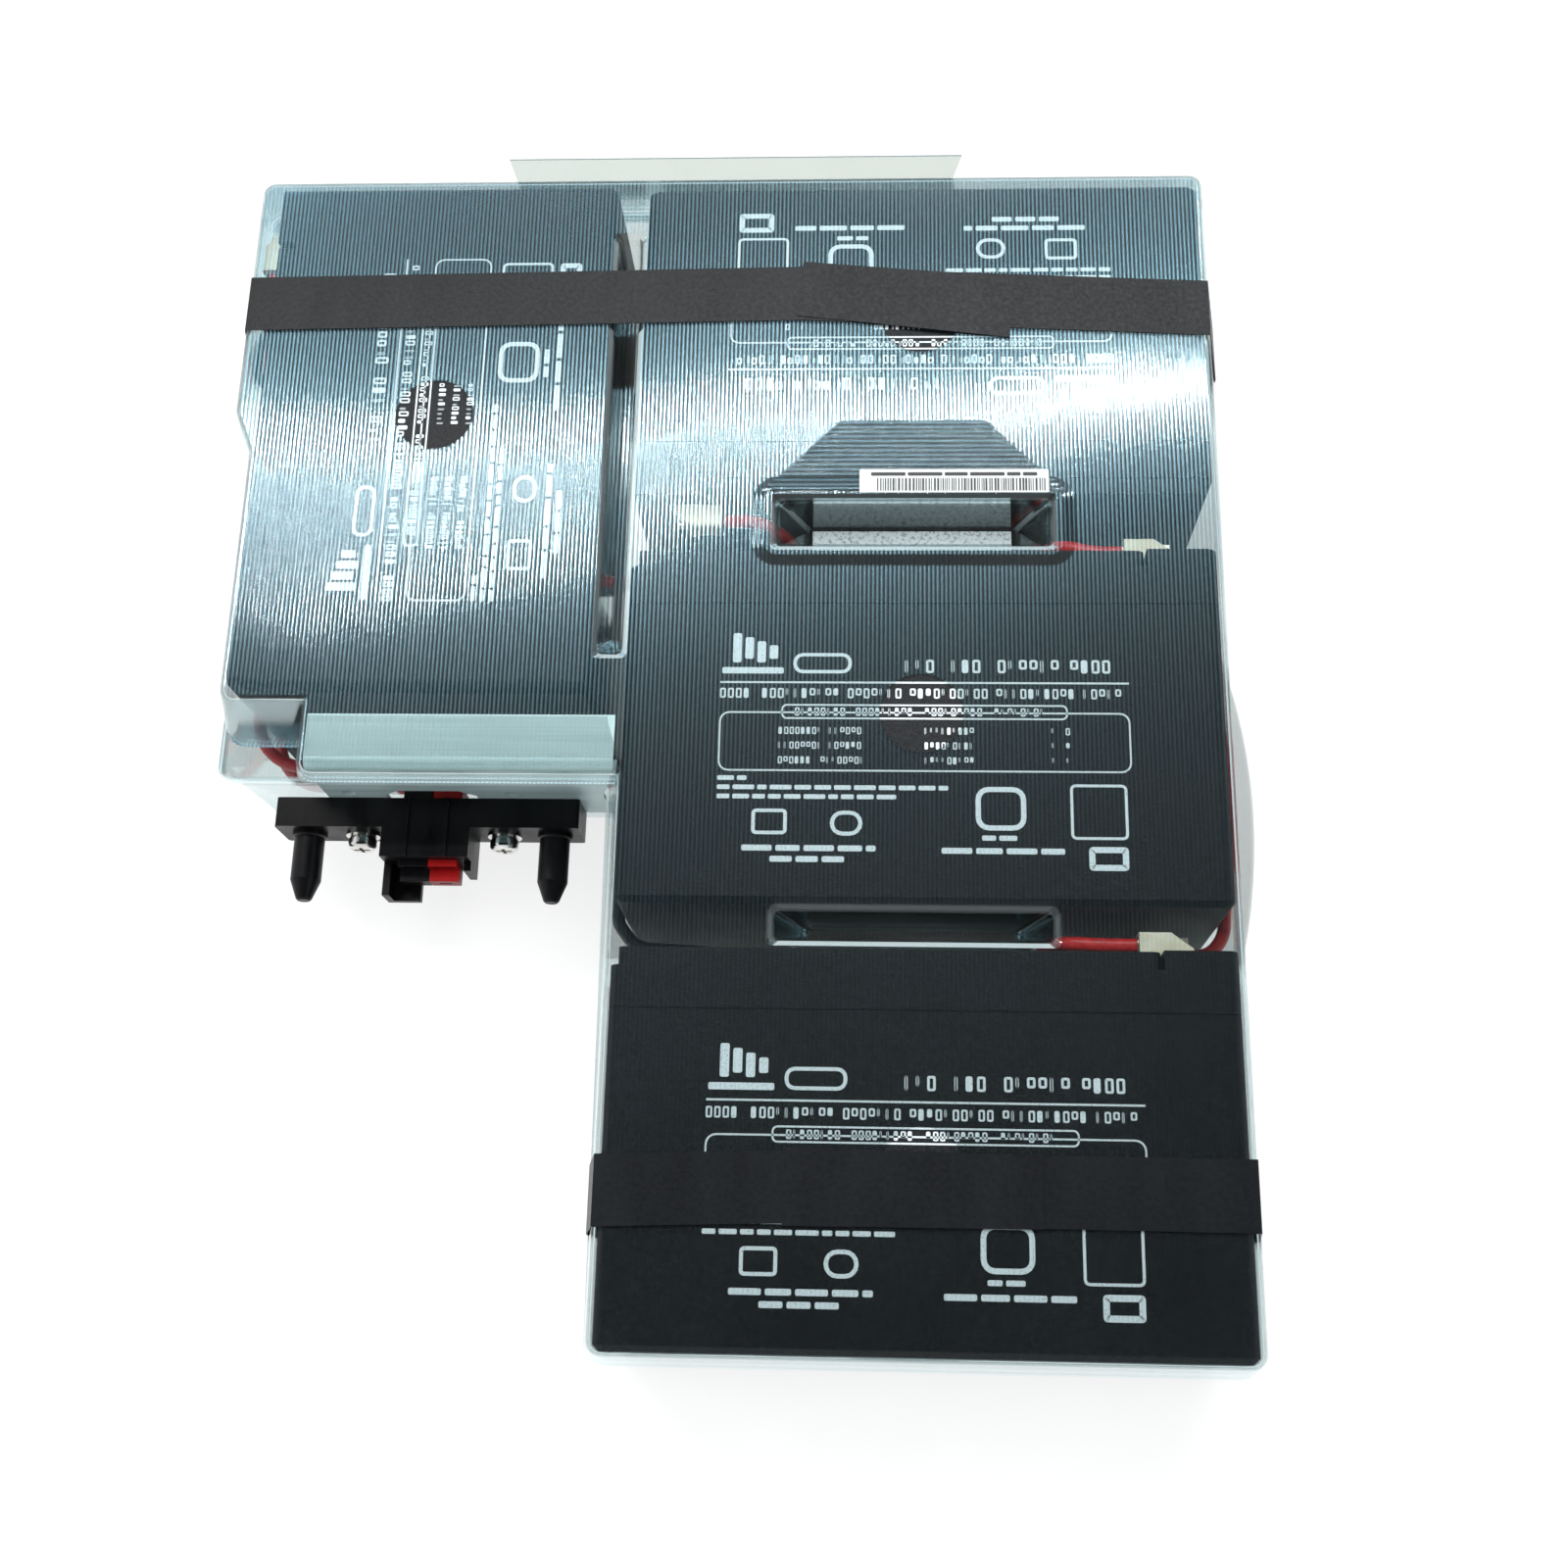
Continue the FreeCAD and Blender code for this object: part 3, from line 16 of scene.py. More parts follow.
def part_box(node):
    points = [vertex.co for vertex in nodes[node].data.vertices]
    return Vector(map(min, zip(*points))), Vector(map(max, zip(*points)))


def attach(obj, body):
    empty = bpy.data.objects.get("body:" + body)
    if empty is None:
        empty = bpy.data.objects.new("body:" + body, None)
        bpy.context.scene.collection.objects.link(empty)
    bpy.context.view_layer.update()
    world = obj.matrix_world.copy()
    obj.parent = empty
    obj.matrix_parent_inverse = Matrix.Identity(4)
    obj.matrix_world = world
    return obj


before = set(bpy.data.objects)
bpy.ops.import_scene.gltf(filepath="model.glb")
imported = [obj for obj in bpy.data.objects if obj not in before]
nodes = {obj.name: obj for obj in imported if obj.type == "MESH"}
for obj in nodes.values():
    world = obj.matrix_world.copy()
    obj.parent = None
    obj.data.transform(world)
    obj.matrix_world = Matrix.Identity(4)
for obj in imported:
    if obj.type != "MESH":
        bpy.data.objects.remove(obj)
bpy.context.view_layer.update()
print("pieces in the frame:", len(nodes))

# %% [markdown]
# ## The camera first
#
# A view is easier to judge when the camera never changes. This one looks down on the
# cartridge from a little in front of it, with a slightly long lens. A camera's own axes
# are its right, its up and the direction behind it, so they can be written down as the
# three columns of a matrix.

# %% Camera
MM = 0.001
CAMERA_PLACE = Vector((117.15, -136.7, 500.2)) * MM
CAMERA_TURN = (-0.3142, 0.0469, 0.0142)     # rotation vector, from looking straight down
LENS = 42.31
SENSOR = 36.0


def turned_camera(vector):
    """Rotation matrix of a camera that looks straight down and is then turned by a vector."""
    angle = Vector(vector).length
    turn = Matrix.Rotation(angle, 3, Vector(vector).normalized())
    rows = turn @ Matrix(((1, 0, 0), (0, -1, 0), (0, 0, -1)))
    return Matrix((rows[0], -rows[1], -rows[2])).transposed()


camera_data = bpy.data.cameras.new("camera")
camera_data.lens = LENS
camera_data.sensor_width = SENSOR
camera = bpy.data.objects.new("camera", camera_data)
camera.matrix_world = Matrix.Translation(CAMERA_PLACE) @ turned_camera(CAMERA_TURN).to_4x4()
bpy.context.scene.collection.objects.link(camera)
bpy.context.scene.camera = camera
bpy.context.scene.view_settings.view_transform = "Standard"
print("camera at", [round(v, 3) for v in camera.location])

# %% [markdown]
# ## Small helpers for node materials
#
# Every finish below is a short chain: a pattern, a ramp or a mix, and a shader. The
# helpers only save typing. `material` makes the shader and sets its plain values,
# `add` puts a node in the tree, and `link` joins two sockets.

# %% Material helpers
def material(name, color, roughness, metallic=0.0):
    """A new material and its Principled shader, with its plain values set on the sockets."""
    made = bpy.data.materials.new(name)
    made.use_nodes = True
    shader = made.node_tree.nodes["Principled BSDF"]
    shader.inputs["Base Color"].default_value = (*color, 1.0)
    shader.inputs["Roughness"].default_value = roughness
    shader.inputs["Metallic"].default_value = metallic
    return made, shader


def add(made, kind, **values):
    """A new node with its plain sockets set by name."""
    node = made.node_tree.nodes.new(kind)
    for name, value in values.items():
        socket = node.inputs.get(name.replace("_", " "))
        if socket is not None:
            socket.default_value = value
        else:
            setattr(node, name, value)
    return node


def link(made, start, end):
    made.node_tree.links.new(start, end)


def object_space(made, scale=(1, 1, 1)):
    """Object coordinates, scaled."""
    coordinates = add(made, "ShaderNodeTexCoord")
    mapping = add(made, "ShaderNodeMapping")
    mapping.inputs["Scale"].default_value = scale
    link(made, coordinates.outputs["Object"], mapping.inputs["Vector"])
    return mapping.outputs["Vector"]


def noise(made, vector, scale, detail=3.0, roughness=0.5):
    texture = add(made, "ShaderNodeTexNoise", Scale=scale, Detail=detail, Roughness=roughness)
    link(made, vector, texture.inputs["Vector"])
    return texture.outputs["Fac"]


def ramp(made, value, stops):
    """A colour ramp through (place, colour or grey) stops."""
    node = add(made, "ShaderNodeValToRGB")
    link(made, value, node.inputs["Fac"])
    elements = node.color_ramp.elements
    while len(elements) < len(stops):
        elements.new(0.5)
    for element, (place, tone) in zip(elements, stops):
        element.position = place
        element.color = (tone, tone, tone, 1.0) if isinstance(tone, float) else (*tone, 1.0)
    return node.outputs["Color"]


def bump(made, height, strength, distance, normal=None):
    node = add(made, "ShaderNodeBump", Strength=strength, Distance=distance)
    link(made, height, node.inputs["Height"])
    if normal is not None:
        link(made, normal, node.inputs["Normal"])
    return node.outputs["Normal"]


print("pattern helpers ready")

# %% Numbers in a node tree, and dressing a solid
def math_node(made, operation, first, second):
    """A math node on two values, each a socket or a number."""
    node = add(made, "ShaderNodeMath", operation=operation)
    for index, value in enumerate((first, second)):
        if isinstance(value, (int, float)):
            node.inputs[index].default_value = value
        else:
            link(made, value, node.inputs[index])
    return node.outputs[0]


def dress(finish, *names):
    """Gives a finish to CAD nodes by name."""
    for name in names:
        mesh = nodes[name].data
        mesh.materials.clear()
        mesh.materials.append(finish)
    print(finish.name, "on", len(names), "pieces")


BATTERIES = ("front_battery", "middle_battery", "rear_battery", "side_battery")
print("helpers ready")

# %% [markdown]
# ## Battery plastic
#
# The cases are moulded in matt, nearly black ABS with a fine spark-eroded grain. The grain
# is far too small to model, so it is a noise that tilts the surface a little, and the
# same noise makes the tiny flecks of light that such a grain gives.

# %% Battery plastic
CASE_DARK = (0.003, 0.004, 0.005)
CASE_LIGHT = (0.013, 0.016, 0.020)
GRAIN = 1500.0


def battery_plastic():
    made, shader = material("battery_plastic", CASE_DARK, 0.55)
    shader.inputs["Specular IOR Level"].default_value = 0.35
    vector = object_space(made)
    grain = noise(made, vector, GRAIN, 2.0, 0.6)
    cloud = noise(made, vector, 28.0, 4.0, 0.55)
    tone = math_node(made, "ADD", math_node(made, "MULTIPLY", grain, 0.65),
                     math_node(made, "MULTIPLY", cloud, 0.35))
    color = ramp(made, tone, [(0.42, CASE_DARK), (0.64, CASE_LIGHT)])
    link(made, color, shader.inputs["Base Color"])
    link(made, ramp(made, cloud, [(0.3, 0.46), (0.7, 0.62)]), shader.inputs["Roughness"])
    link(made, bump(made, grain, 0.55, 0.25 * MM), shader.inputs["Normal"])
    return made


plastic = battery_plastic()
for battery in BATTERIES:
    dress(plastic, battery + "_case", battery + "_lid", battery + "_vent_cover")

# %% [markdown]
# ## Inside the batteries
#
# Nobody sees the plates and valves unless the batteries are opened, but they are there,
# so they get the dull grey of lead, the black of rubber and the pale metal of the tabs.

# %% Lead, rubber and tabs
def mottled(name, dark, light, roughness, scale, metallic=0.0, depth=0.1 * MM):
    """A finish whose tone and height follow one noise."""
    made, shader = material(name, dark, roughness, metallic)
    vector = object_space(made)
    pattern = noise(made, vector, scale, 4.0, 0.6)
    link(made, ramp(made, pattern, [(0.35, dark), (0.68, light)]), shader.inputs["Base Color"])
    link(made, bump(made, pattern, 0.4, depth), shader.inputs["Normal"])
    return made


lead = mottled("lead_plates", (0.16, 0.165, 0.175), (0.32, 0.33, 0.35), 0.6, 300.0, 0.6)
valve_rubber = mottled("valve_rubber", (0.012, 0.012, 0.012), (0.03, 0.03, 0.03), 0.7, 500.0)
tab_metal = mottled("tab_metal", (0.55, 0.52, 0.44), (0.78, 0.75, 0.66), 0.35, 260.0, 1.0)
for battery in BATTERIES:
    dress(lead, battery + "_cell_groups")
    dress(valve_rubber, battery + "_valve_caps")
    dress(tab_metal, battery + "_positive_tab", battery + "_negative_tab")
dress(tab_metal, "receptacles", "negative_plug_contact", "positive_plug_contact")

# %% [markdown]
# ## Nylon sleeves, wires and the plug
#
# The sleeves on the tabs are natural nylon, a yellowish milk white that lets light in, so
# they get subsurface scattering. The wires are soft PVC with a faint shine. The plug's
# carrier is black glass-filled nylon: satin, with a flow pattern hardly wider than a hair.

# %% Nylon, wires, plug
def nylon_sleeve():
    made, shader = material("natural_nylon", (0.74, 0.70, 0.56), 0.4)
    shader.inputs["Subsurface Weight"].default_value = 0.35
    shader.inputs["Subsurface Scale"].default_value = 0.003
    vector = object_space(made)
    cloud = noise(made, vector, 240.0, 3.0)
    tone = ramp(made, cloud, [(0.3, (0.66, 0.61, 0.46)), (0.7, (0.82, 0.79, 0.66))])
    link(made, tone, shader.inputs["Base Color"])
    link(made, bump(made, cloud, 0.25, 0.1 * MM), shader.inputs["Normal"])
    return made


def wire_jacket(name, dark, light):
    made = mottled(name, dark, light, 0.38, 420.0, depth=0.08 * MM)
    shader = made.node_tree.nodes["Principled BSDF"]
    shader.inputs["Coat Weight"].default_value = 0.25
    shader.inputs["Coat Roughness"].default_value = 0.3
    return made


def filled_nylon(name, dark, light, roughness):
    """Moulded nylon: fine grain over long soft flow marks."""
    made, shader = material(name, dark, roughness)
    shader.inputs["Specular IOR Level"].default_value = 0.18
    vector = object_space(made, scale=(1.0, 0.3, 1.0))
    flow = noise(made, vector, 160.0, 4.0, 0.6)
    grain = noise(made, vector, 1800.0, 2.0)
    link(made, ramp(made, flow, [(0.3, dark), (0.75, light)]), shader.inputs["Base Color"])
    link(made, ramp(made, flow, [(0.3, roughness - 0.06), (0.7, roughness + 0.1)]),
         shader.inputs["Roughness"])
    link(made, bump(made, grain, 0.3, 0.1 * MM), shader.inputs["Normal"])
    return made


dress(nylon_sleeve(), "receptacle_sleeves")
dress(wire_jacket("red_jacket", (0.40, 0.012, 0.014), (0.62, 0.03, 0.03)),
      "positive_lead", "jumper_side_to_rear", "jumper_rear_to_middle", "jumper_middle_to_front")
dress(wire_jacket("black_jacket", (0.008, 0.008, 0.009), (0.022, 0.022, 0.024)), "negative_lead")
black_nylon = filled_nylon("black_nylon", (0.0015, 0.0015, 0.002), (0.005, 0.005, 0.006), 0.36)
dress(black_nylon, "plug_carrier", "negative_plug_housing")
dress(filled_nylon("red_nylon", (0.22, 0.002, 0.003), (0.34, 0.006, 0.007), 0.34),
      "positive_plug_housing")

# %% [markdown]
# ## The bracket and its screws
#
# The bracket is rolled and brushed along its length, then zinc plated with a cool blue
# passivation. Brushing is a noise stretched about eighty times along X: it changes the
# tone and tilts the surface across the scratches. A broader noise changes the roughness.

# %% Bracket and fasteners
BRUSH = 2600.0
BRUSH_STRETCH = (0.012, 1.0, 1.0)
BROAD_STRETCH = (0.03, 1.0, 0.6)


def brushed_zinc():
    made, shader = material("brushed_zinc", (0.60, 0.70, 0.71), 0.42, 0.35)
    along = object_space(made, scale=BRUSH_STRETCH)
    scratches = noise(made, along, BRUSH, 3.0, 0.7)
    broad = noise(made, object_space(made, scale=BROAD_STRETCH), 420.0, 3.0)
    tone = math_node(made, "ADD", math_node(made, "MULTIPLY", scratches, 0.5),
                     math_node(made, "MULTIPLY", broad, 0.5))
    link(made, ramp(made, tone, [(0.32, (0.50, 0.66, 0.67)), (0.7, (0.76, 0.92, 0.92))]),
         shader.inputs["Base Color"])
    link(made, ramp(made, broad, [(0.3, 0.36), (0.7, 0.5)]), shader.inputs["Roughness"])
    link(made, bump(made, scratches, 0.35, 0.06 * MM), shader.inputs["Normal"])
    return made


dress(brushed_zinc(), "plug_bracket")
nickel = mottled("bright_nickel", (0.62, 0.61, 0.58), (0.82, 0.81, 0.78), 0.2, 300.0,
                 metallic=1.0, depth=0.04 * MM)
dress(nickel, "carrier_screws", "carrier_spring_washers", "carrier_flat_washers", "clinch_nuts")

# %% [markdown]
# ## Strap tape
#
# The straps are thick black tape. It lies flat but not perfectly flat: long soft ripples
# run across it, and its surface has the faint weave of the roll it came from.

# %% Strap tape
def strap_tape():
    made, shader = material("strap_tape", (0.006, 0.007, 0.009), 0.48)
    shader.inputs["Specular IOR Level"].default_value = 0.25
    vector = object_space(made)
    ripple = noise(made, object_space(made, scale=(1.0, 0.25, 1.0)), 60.0, 3.0, 0.5)
    grain = noise(made, vector, 900.0, 2.0)
    tone = ramp(made, ripple, [(0.3, (0.004, 0.005, 0.0065)), (0.72, (0.009, 0.011, 0.0135))])
    link(made, tone, shader.inputs["Base Color"])
    link(made, ramp(made, grain, [(0.3, 0.36), (0.7, 0.5)]), shader.inputs["Roughness"])
    waves = bump(made, ripple, 0.35, 1.2 * MM)
    link(made, bump(made, grain, 0.25, 0.1 * MM, waves), shader.inputs["Normal"])
    return made


dress(strap_tape(), "rear_strap", "front_strap")

# %% [markdown]
# ## Clear film
#
# The shells are thin clear film. Light passes almost straight through and a little is
# mirrored, so the film is a see-through shader mixed with a mirror by Fresnel. A solid
# glass shader would keep the lamps from lighting the batteries.
#
# Rays aren't bent here, so from the inside a steep wall would mirror everything, as a
# prism does. The mirror's share is therefore held below a fixed value.
#
# The mirror has two parts. One is nearly sharp, and its face is tipped a little here and
# there, so a lamp's image wanders. The other is a wide soft lobe, the bluish sheen that
# drawn plastic spreads round every lamp. Fine threads, the marks of the milled mould, run
# over level faces only: on a leaning wall the same pattern would turn into broad stripes.

# %% The marks of the mould
LINE_PITCH = 1.1 * MM
ROOF_PITCH = LINE_PITCH * 1.25  # of the lines that lie along X, beside the pocket
ROOF_HALF = 40.0 * MM           # half width of their field
ROOF_TOP = 21.0 * MM            # its depth
ROOF_START = 3.0 * MM           # its front edge, ahead of the label's middle
POCKET_ASIDE = 10.6 * MM        # the label's middle to the large pocket's, along X


def absolute(made, value):
    return math_node(made, "ABSOLUTE", value, 0.0)


def label_middle():
    return [(low + high) / 2.0 for low, high in zip(*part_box("bar_label"))]


def mould_lines(made):
    """Milling marks of the mould: along Y, but along X in a roof shape behind the large pocket."""
    label = label_middle()
    axes = add(made, "ShaderNodeSeparateXYZ")
    link(made, object_space(made), axes.inputs[0])
    behind = math_node(made, "SUBTRACT", axes.outputs["Y"], label[1] - ROOF_START)
    aside = absolute(made, math_node(made, "SUBTRACT", axes.outputs["X"], label[0] - POCKET_ASIDE))
    roof = math_node(made, "LESS_THAN", math_node(made, "ADD", aside, behind), ROOF_HALF)
    roof = math_node(made, "MULTIPLY", roof, math_node(made, "GREATER_THAN", behind, 0.0))
    roof = math_node(made, "MULTIPLY", roof, math_node(made, "LESS_THAN", behind, ROOF_TOP))
    lines = add(made, "ShaderNodeMix")
    link(made, roof, lines.inputs["Factor"])
    for socket, axis, pitch in (("A", "X", LINE_PITCH), ("B", "Y", ROOF_PITCH)):
        phase = math_node(made, "MULTIPLY", axes.outputs[axis], math.tau / pitch)
        link(made, math_node(made, "SINE", phase, 0.0), lines.inputs[socket])
    return lines.outputs["Result"]


print("mould lines every", round(LINE_PITCH / MM, 2), "mm")

# %% The large pocket
POCKET_AHEAD = 11.2 * MM        # the label's middle to the pocket's, along Y
RIM_CORE = (35.0 * MM, 6.0 * MM, 0.0)   # half size of the field inside the pocket's border
RIM_REACH = 8.0 * MM
FLOOR_BOX = (26.6 * MM, 5.2 * MM, 52.0 * MM)    # half sizes and height of the pocket's floor
WELL_BOX = (36.0 * MM, 9.0 * MM, 62.5 * MM)     # and of all of it below the rim, the box where shade is painted


def pocket_rim(made):
    """Height of the soft raised border that runs round the large pocket."""
    label = label_middle()
    centre = (label[0] - POCKET_ASIDE, label[1] - POCKET_AHEAD, 0.0)
    outward = object_space(made)
    for operation, value in (
        ("SUBTRACT", centre),
        ("MULTIPLY", (1.0, 1.0, 0.0)),
        ("ABSOLUTE", None),
        ("SUBTRACT", RIM_CORE),
        ("MAXIMUM", (0.0, 0.0, 0.0)),
    ):
        step = add(made, "ShaderNodeVectorMath", operation=operation)
        link(made, outward, step.inputs[0])
        if value is not None:
            step.inputs[1].default_value = value
        outward = step.outputs[0]
    distance = add(made, "ShaderNodeVectorMath", operation="LENGTH")
    link(made, outward, distance.inputs[0])
    away = math_node(made, "MULTIPLY", distance.outputs["Value"], 1.0 / RIM_REACH)
    return ramp(made, away, [(0.0, 1.0), (0.45, 1.0), (0.85, 0.0), (1.0, 0.0)])


def inside_pocket(made, half_x, half_y, top):
    """1 in a box round the large pocket's middle and below a height, and 0 outside it."""
    label = label_middle()
    axes = add(made, "ShaderNodeSeparateXYZ")
    link(made, object_space(made), axes.inputs[0])
    inside = math_node(made, "LESS_THAN", axes.outputs["Z"], top)
    for axis, middle, half in (
        ("X", label[0] - POCKET_ASIDE, half_x),
        ("Y", label[1] - POCKET_AHEAD, half_y),
    ):
        away = absolute(made, math_node(made, "SUBTRACT", axes.outputs[axis], middle))
        near = math_node(made, "LESS_THAN", away, half)
        inside = math_node(made, "MULTIPLY", inside, near)
    return inside


print("pocket in front of the label by", round(POCKET_AHEAD / MM, 1), "mm")

# %% How the film's face lies
WANDER = 0.025                  # most tilt of the film's face for a full swing of the noise
LEVEL = 0.93                    # least upward part of a level face's normal


def wandering(made):
    """The film's normal, tipped along Y by an amount that changes along X."""
    wave = noise(made, object_space(made, scale=(1.0, 0.12, 1.0)), 15.0, 0.0, 0.5)
    tip = add(made, "ShaderNodeCombineXYZ")
    link(made, math_node(made, "MULTIPLY", math_node(made, "SUBTRACT", wave, 0.5), WANDER),
         tip.inputs["Y"])
    geometry = add(made, "ShaderNodeNewGeometry")
    tipped = add(made, "ShaderNodeVectorMath", operation="ADD")
    link(made, geometry.outputs["Normal"], tipped.inputs[0])
    link(made, tip.outputs[0], tipped.inputs[1])
    unit = add(made, "ShaderNodeVectorMath", operation="NORMALIZE")
    link(made, tipped.outputs[0], unit.inputs[0])
    return unit.outputs[0]


def facing_up(made):
    """1 on level faces and 0 on steep ones."""
    geometry = add(made, "ShaderNodeNewGeometry")
    parts = add(made, "ShaderNodeSeparateXYZ")
    link(made, geometry.outputs["Normal"], parts.inputs[0])
    return math_node(made, "GREATER_THAN", absolute(made, parts.outputs["Z"]), LEVEL)


print("level faces lean less than", round(math.degrees(math.acos(LEVEL))), "degrees")

# %% Film: its values, its mirror and its body
FILM_CLEAR = (0.935, 0.95, 0.945)
FLAP_CLEAR = (0.80, 0.82, 0.79)
FILM_INDEX = 1.56
FILM_GRAIN = 2300.0
SHARP_TINT = (0.88, 0.98, 1.0)
SHEEN = (0.44, 0.81, 1.0)
SHEEN_ROUGHNESS = 0.23
HAZE_TINT = (0.86, 0.97, 1.0)
RIM_HEIGHT = 0.5 * MM
THREAD_HEIGHT = 0.05 * MM
GRAIN_HEIGHT = 0.006 * MM
THREAD_SHEEN = 0.4              # how much the threads change the soft share
THREAD_GLINT = 0.45             # and the whole mirror
PAINTED_SHADE_IN_WELL = 0.72               # part of the mirror taken away inside the pocket: painted shade in the recess


def film_mirror(made, sharp, normal, softness):
    """The nearly sharp mirror, with a share of the soft one on level faces."""
    soft = add(made, "ShaderNodeBsdfPrincipled", Metallic=1.0, Roughness=SHEEN_ROUGHNESS)
    soft.inputs["Base Color"].default_value = (*SHEEN, 1.0)
    link(made, normal, soft.inputs["Normal"])
    link(made, normal, sharp.inputs["Normal"])
    mirror = add(made, "ShaderNodeMixShader")
    link(made, math_node(made, "MULTIPLY", facing_up(made), softness), mirror.inputs[0])
    link(made, sharp.outputs[0], mirror.inputs[1])
    link(made, soft.outputs[0], mirror.inputs[2])
    return mirror.outputs[0]


def film_body(made, share, tint):
    """The film that light passes, with a share of milky haze."""
    clear = add(made, "ShaderNodeBsdfTransparent")
    clear.inputs["Color"].default_value = (*tint, 1.0)
    milk = add(made, "ShaderNodeBsdfDiffuse")
    milk.inputs["Color"].default_value = (*HAZE_TINT, 1.0)
    body = add(made, "ShaderNodeMixShader")
    link(made, share, body.inputs[0])
    link(made, clear.outputs[0], body.inputs[1])
    link(made, milk.outputs[0], body.inputs[2])
    return body.outputs[0]


print("film of index", FILM_INDEX, "ready")

# %% Film on the shells and the flap
def clear_film(name, lines, haze, sheen, most, tint=FILM_CLEAR):
    """Film with mould lines of a given depth, a haze, a share of soft sheen and a most mirror."""
    made, sharp = material(name, SHARP_TINT, 0.10, 1.0)
    grain = noise(made, object_space(made), FILM_GRAIN, 2.0, 0.6)
    link(made, ramp(made, grain, [(0.3, 0.03), (0.7, 0.12)]), sharp.inputs["Roughness"])
    share = ramp(made, grain, [(0.35, haze * 0.7), (0.7, haze * 1.3)])
    fresnel = add(made, "ShaderNodeFresnel", IOR=FILM_INDEX)
    mirrored = math_node(made, "MINIMUM", fresnel.outputs[0], most)
    normal = wandering(made)
    softness = sheen
    if lines:
        threads = math_node(made, "MULTIPLY", mould_lines(made), facing_up(made))
        normal = bump(made, pocket_rim(made), 1.0, RIM_HEIGHT, normal)
        normal = bump(made, threads, lines, THREAD_HEIGHT, normal)
        softness = math_node(made, "ADD", math_node(made, "MULTIPLY", threads, THREAD_SHEEN), sheen)
        flecks = noise(made, object_space(made), 900.0, 3.0, 0.7)
        speckle = ramp(made, flecks, [(0.38, 0.35), (0.5, 1.0)])
        frost = math_node(made, "MULTIPLY", inside_pocket(made, *FLOOR_BOX), speckle)
        share = math_node(made, "ADD", share, frost)
        # Inside the pocket, below its rim, the mirror's share is cut by a fixed part: painted shade
        # in the recess.
        pocket_painted_shade = math_node(made, "MULTIPLY", inside_pocket(made, *WELL_BOX), PAINTED_SHADE_IN_WELL)
        glint = math_node(made, "ADD", math_node(made, "MULTIPLY", threads, THREAD_GLINT), 1.0)
        mirrored = math_node(made, "MULTIPLY", mirrored, math_node(made, "SUBTRACT", 1.0, pocket_painted_shade))
        mirrored = math_node(made, "MULTIPLY", mirrored, glint)
    normal = bump(made, grain, 0.5, GRAIN_HEIGHT, normal)
    film = add(made, "ShaderNodeMixShader")
    link(made, mirrored, film.inputs[0])
    link(made, film_body(made, share, tint), film.inputs[1])
    link(made, film_mirror(made, sharp, normal, softness), film.inputs[2])
    link(made, film.outputs[0], made.node_tree.nodes["Material Output"].inputs["Surface"])
    return made


dress(clear_film("upper_film", lines=0.5, haze=0.003, sheen=0.46, most=0.8), "upper_blister")
dress(clear_film("lower_film", lines=0.0, haze=0.004, sheen=0.3, most=0.42), "lower_blister")
dress(clear_film("flap_film", lines=0.0, haze=0.06, sheen=0.3, most=0.8, tint=FLAP_CLEAR),
      "pull_flap")

# %% [markdown]
# ## Print on the batteries
#
# Each battery carries one colour of screen print. Words and marks are left out, and what
# stays is their weight on the surface: rows of dashes with the lengths of words, a large
# rounded frame with a heading tab, and a few plain blocks. The print is modelled once, as
# thin islands of ink in the battery's own frame, and copied to all four.
#
# Every island is a plane added at its place and size, joined into one mesh, and given the
# ink's thickness with Solidify. Frames are the same plane with its corners bevelled, inset
# to the line's width, and the middle deleted.

# %% Print helpers
INK = 0.03 * MM
WORD_GAP = 0.6                  # gap after a word, in heights of the row
STROKE_PITCH = 0.74             # and from one stroke of a word to the next
STROKES = ((0.76, True), (0.76, True), (0.3, False), (0.62, False))     # width, hollow or not
SHORT_SHARE = 0.4               # share of the strokes that start above the row's foot
random.seed(12)


def deselect():
    bpy.ops.object.select_all(action="DESELECT")


def island(x0, y0, x1, y1, round_by=0.0, line=0.0):
    """A flat rectangle in millimetres, with round corners, or only its outline if line is set."""
    bpy.ops.mesh.primitive_plane_add(size=1.0, location=((x0 + x1) / 2 * MM, (y0 + y1) / 2 * MM, 0))
    piece = bpy.context.object
    piece.scale = ((x1 - x0) * MM, (y1 - y0) * MM, 1.0)
    bpy.ops.object.transform_apply(location=True, rotation=True, scale=True)
    bpy.ops.object.mode_set(mode="EDIT")
    bpy.ops.mesh.select_all(action="SELECT")
    if round_by:
        bpy.ops.mesh.bevel(offset=round_by * MM, segments=4, affect="VERTICES")
    if line:
        bpy.ops.mesh.select_all(action="SELECT")
        bpy.ops.mesh.inset(thickness=line * MM)
        bpy.ops.mesh.delete(type="FACE")
    bpy.ops.object.mode_set(mode="OBJECT")
    return piece


def row_of_words(x0, x1, y0, height, lengths, strokes=False):
    """Dashes between two ends, with word lengths in millimetres and a gap after each.

    With strokes, a word is a run of small bars and hollow boxes instead of one dash.
    """
    made = []
    gap = height * WORD_GAP
    pitch = height * STROKE_PITCH
    x = x0
    while x < x1 - height:
        length = min(random.choice(lengths), x1 - x)
        if strokes:
            for index in range(max(1, int(length / pitch))):
                left = x + index * pitch
                width, hollow = random.choice(STROKES)
                low = y0 + (height * 0.28 if random.random() < SHORT_SHARE else 0.0)
                made.append(island(left, low, left + pitch * width, y0 + height, height * 0.16,
                                   height * 0.17 if hollow else 0.0))
        else:
            made.append(island(x, y0, x + length, y0 + height, height * 0.28))
        x += length + gap
    return made


def joined(pieces, name):
    """All pieces as one object."""
    deselect()
    for piece in pieces:
        piece.select_set(True)
    bpy.context.view_layer.objects.active = pieces[0]
    bpy.ops.object.join()
    pieces[0].name = name
    return pieces[0]


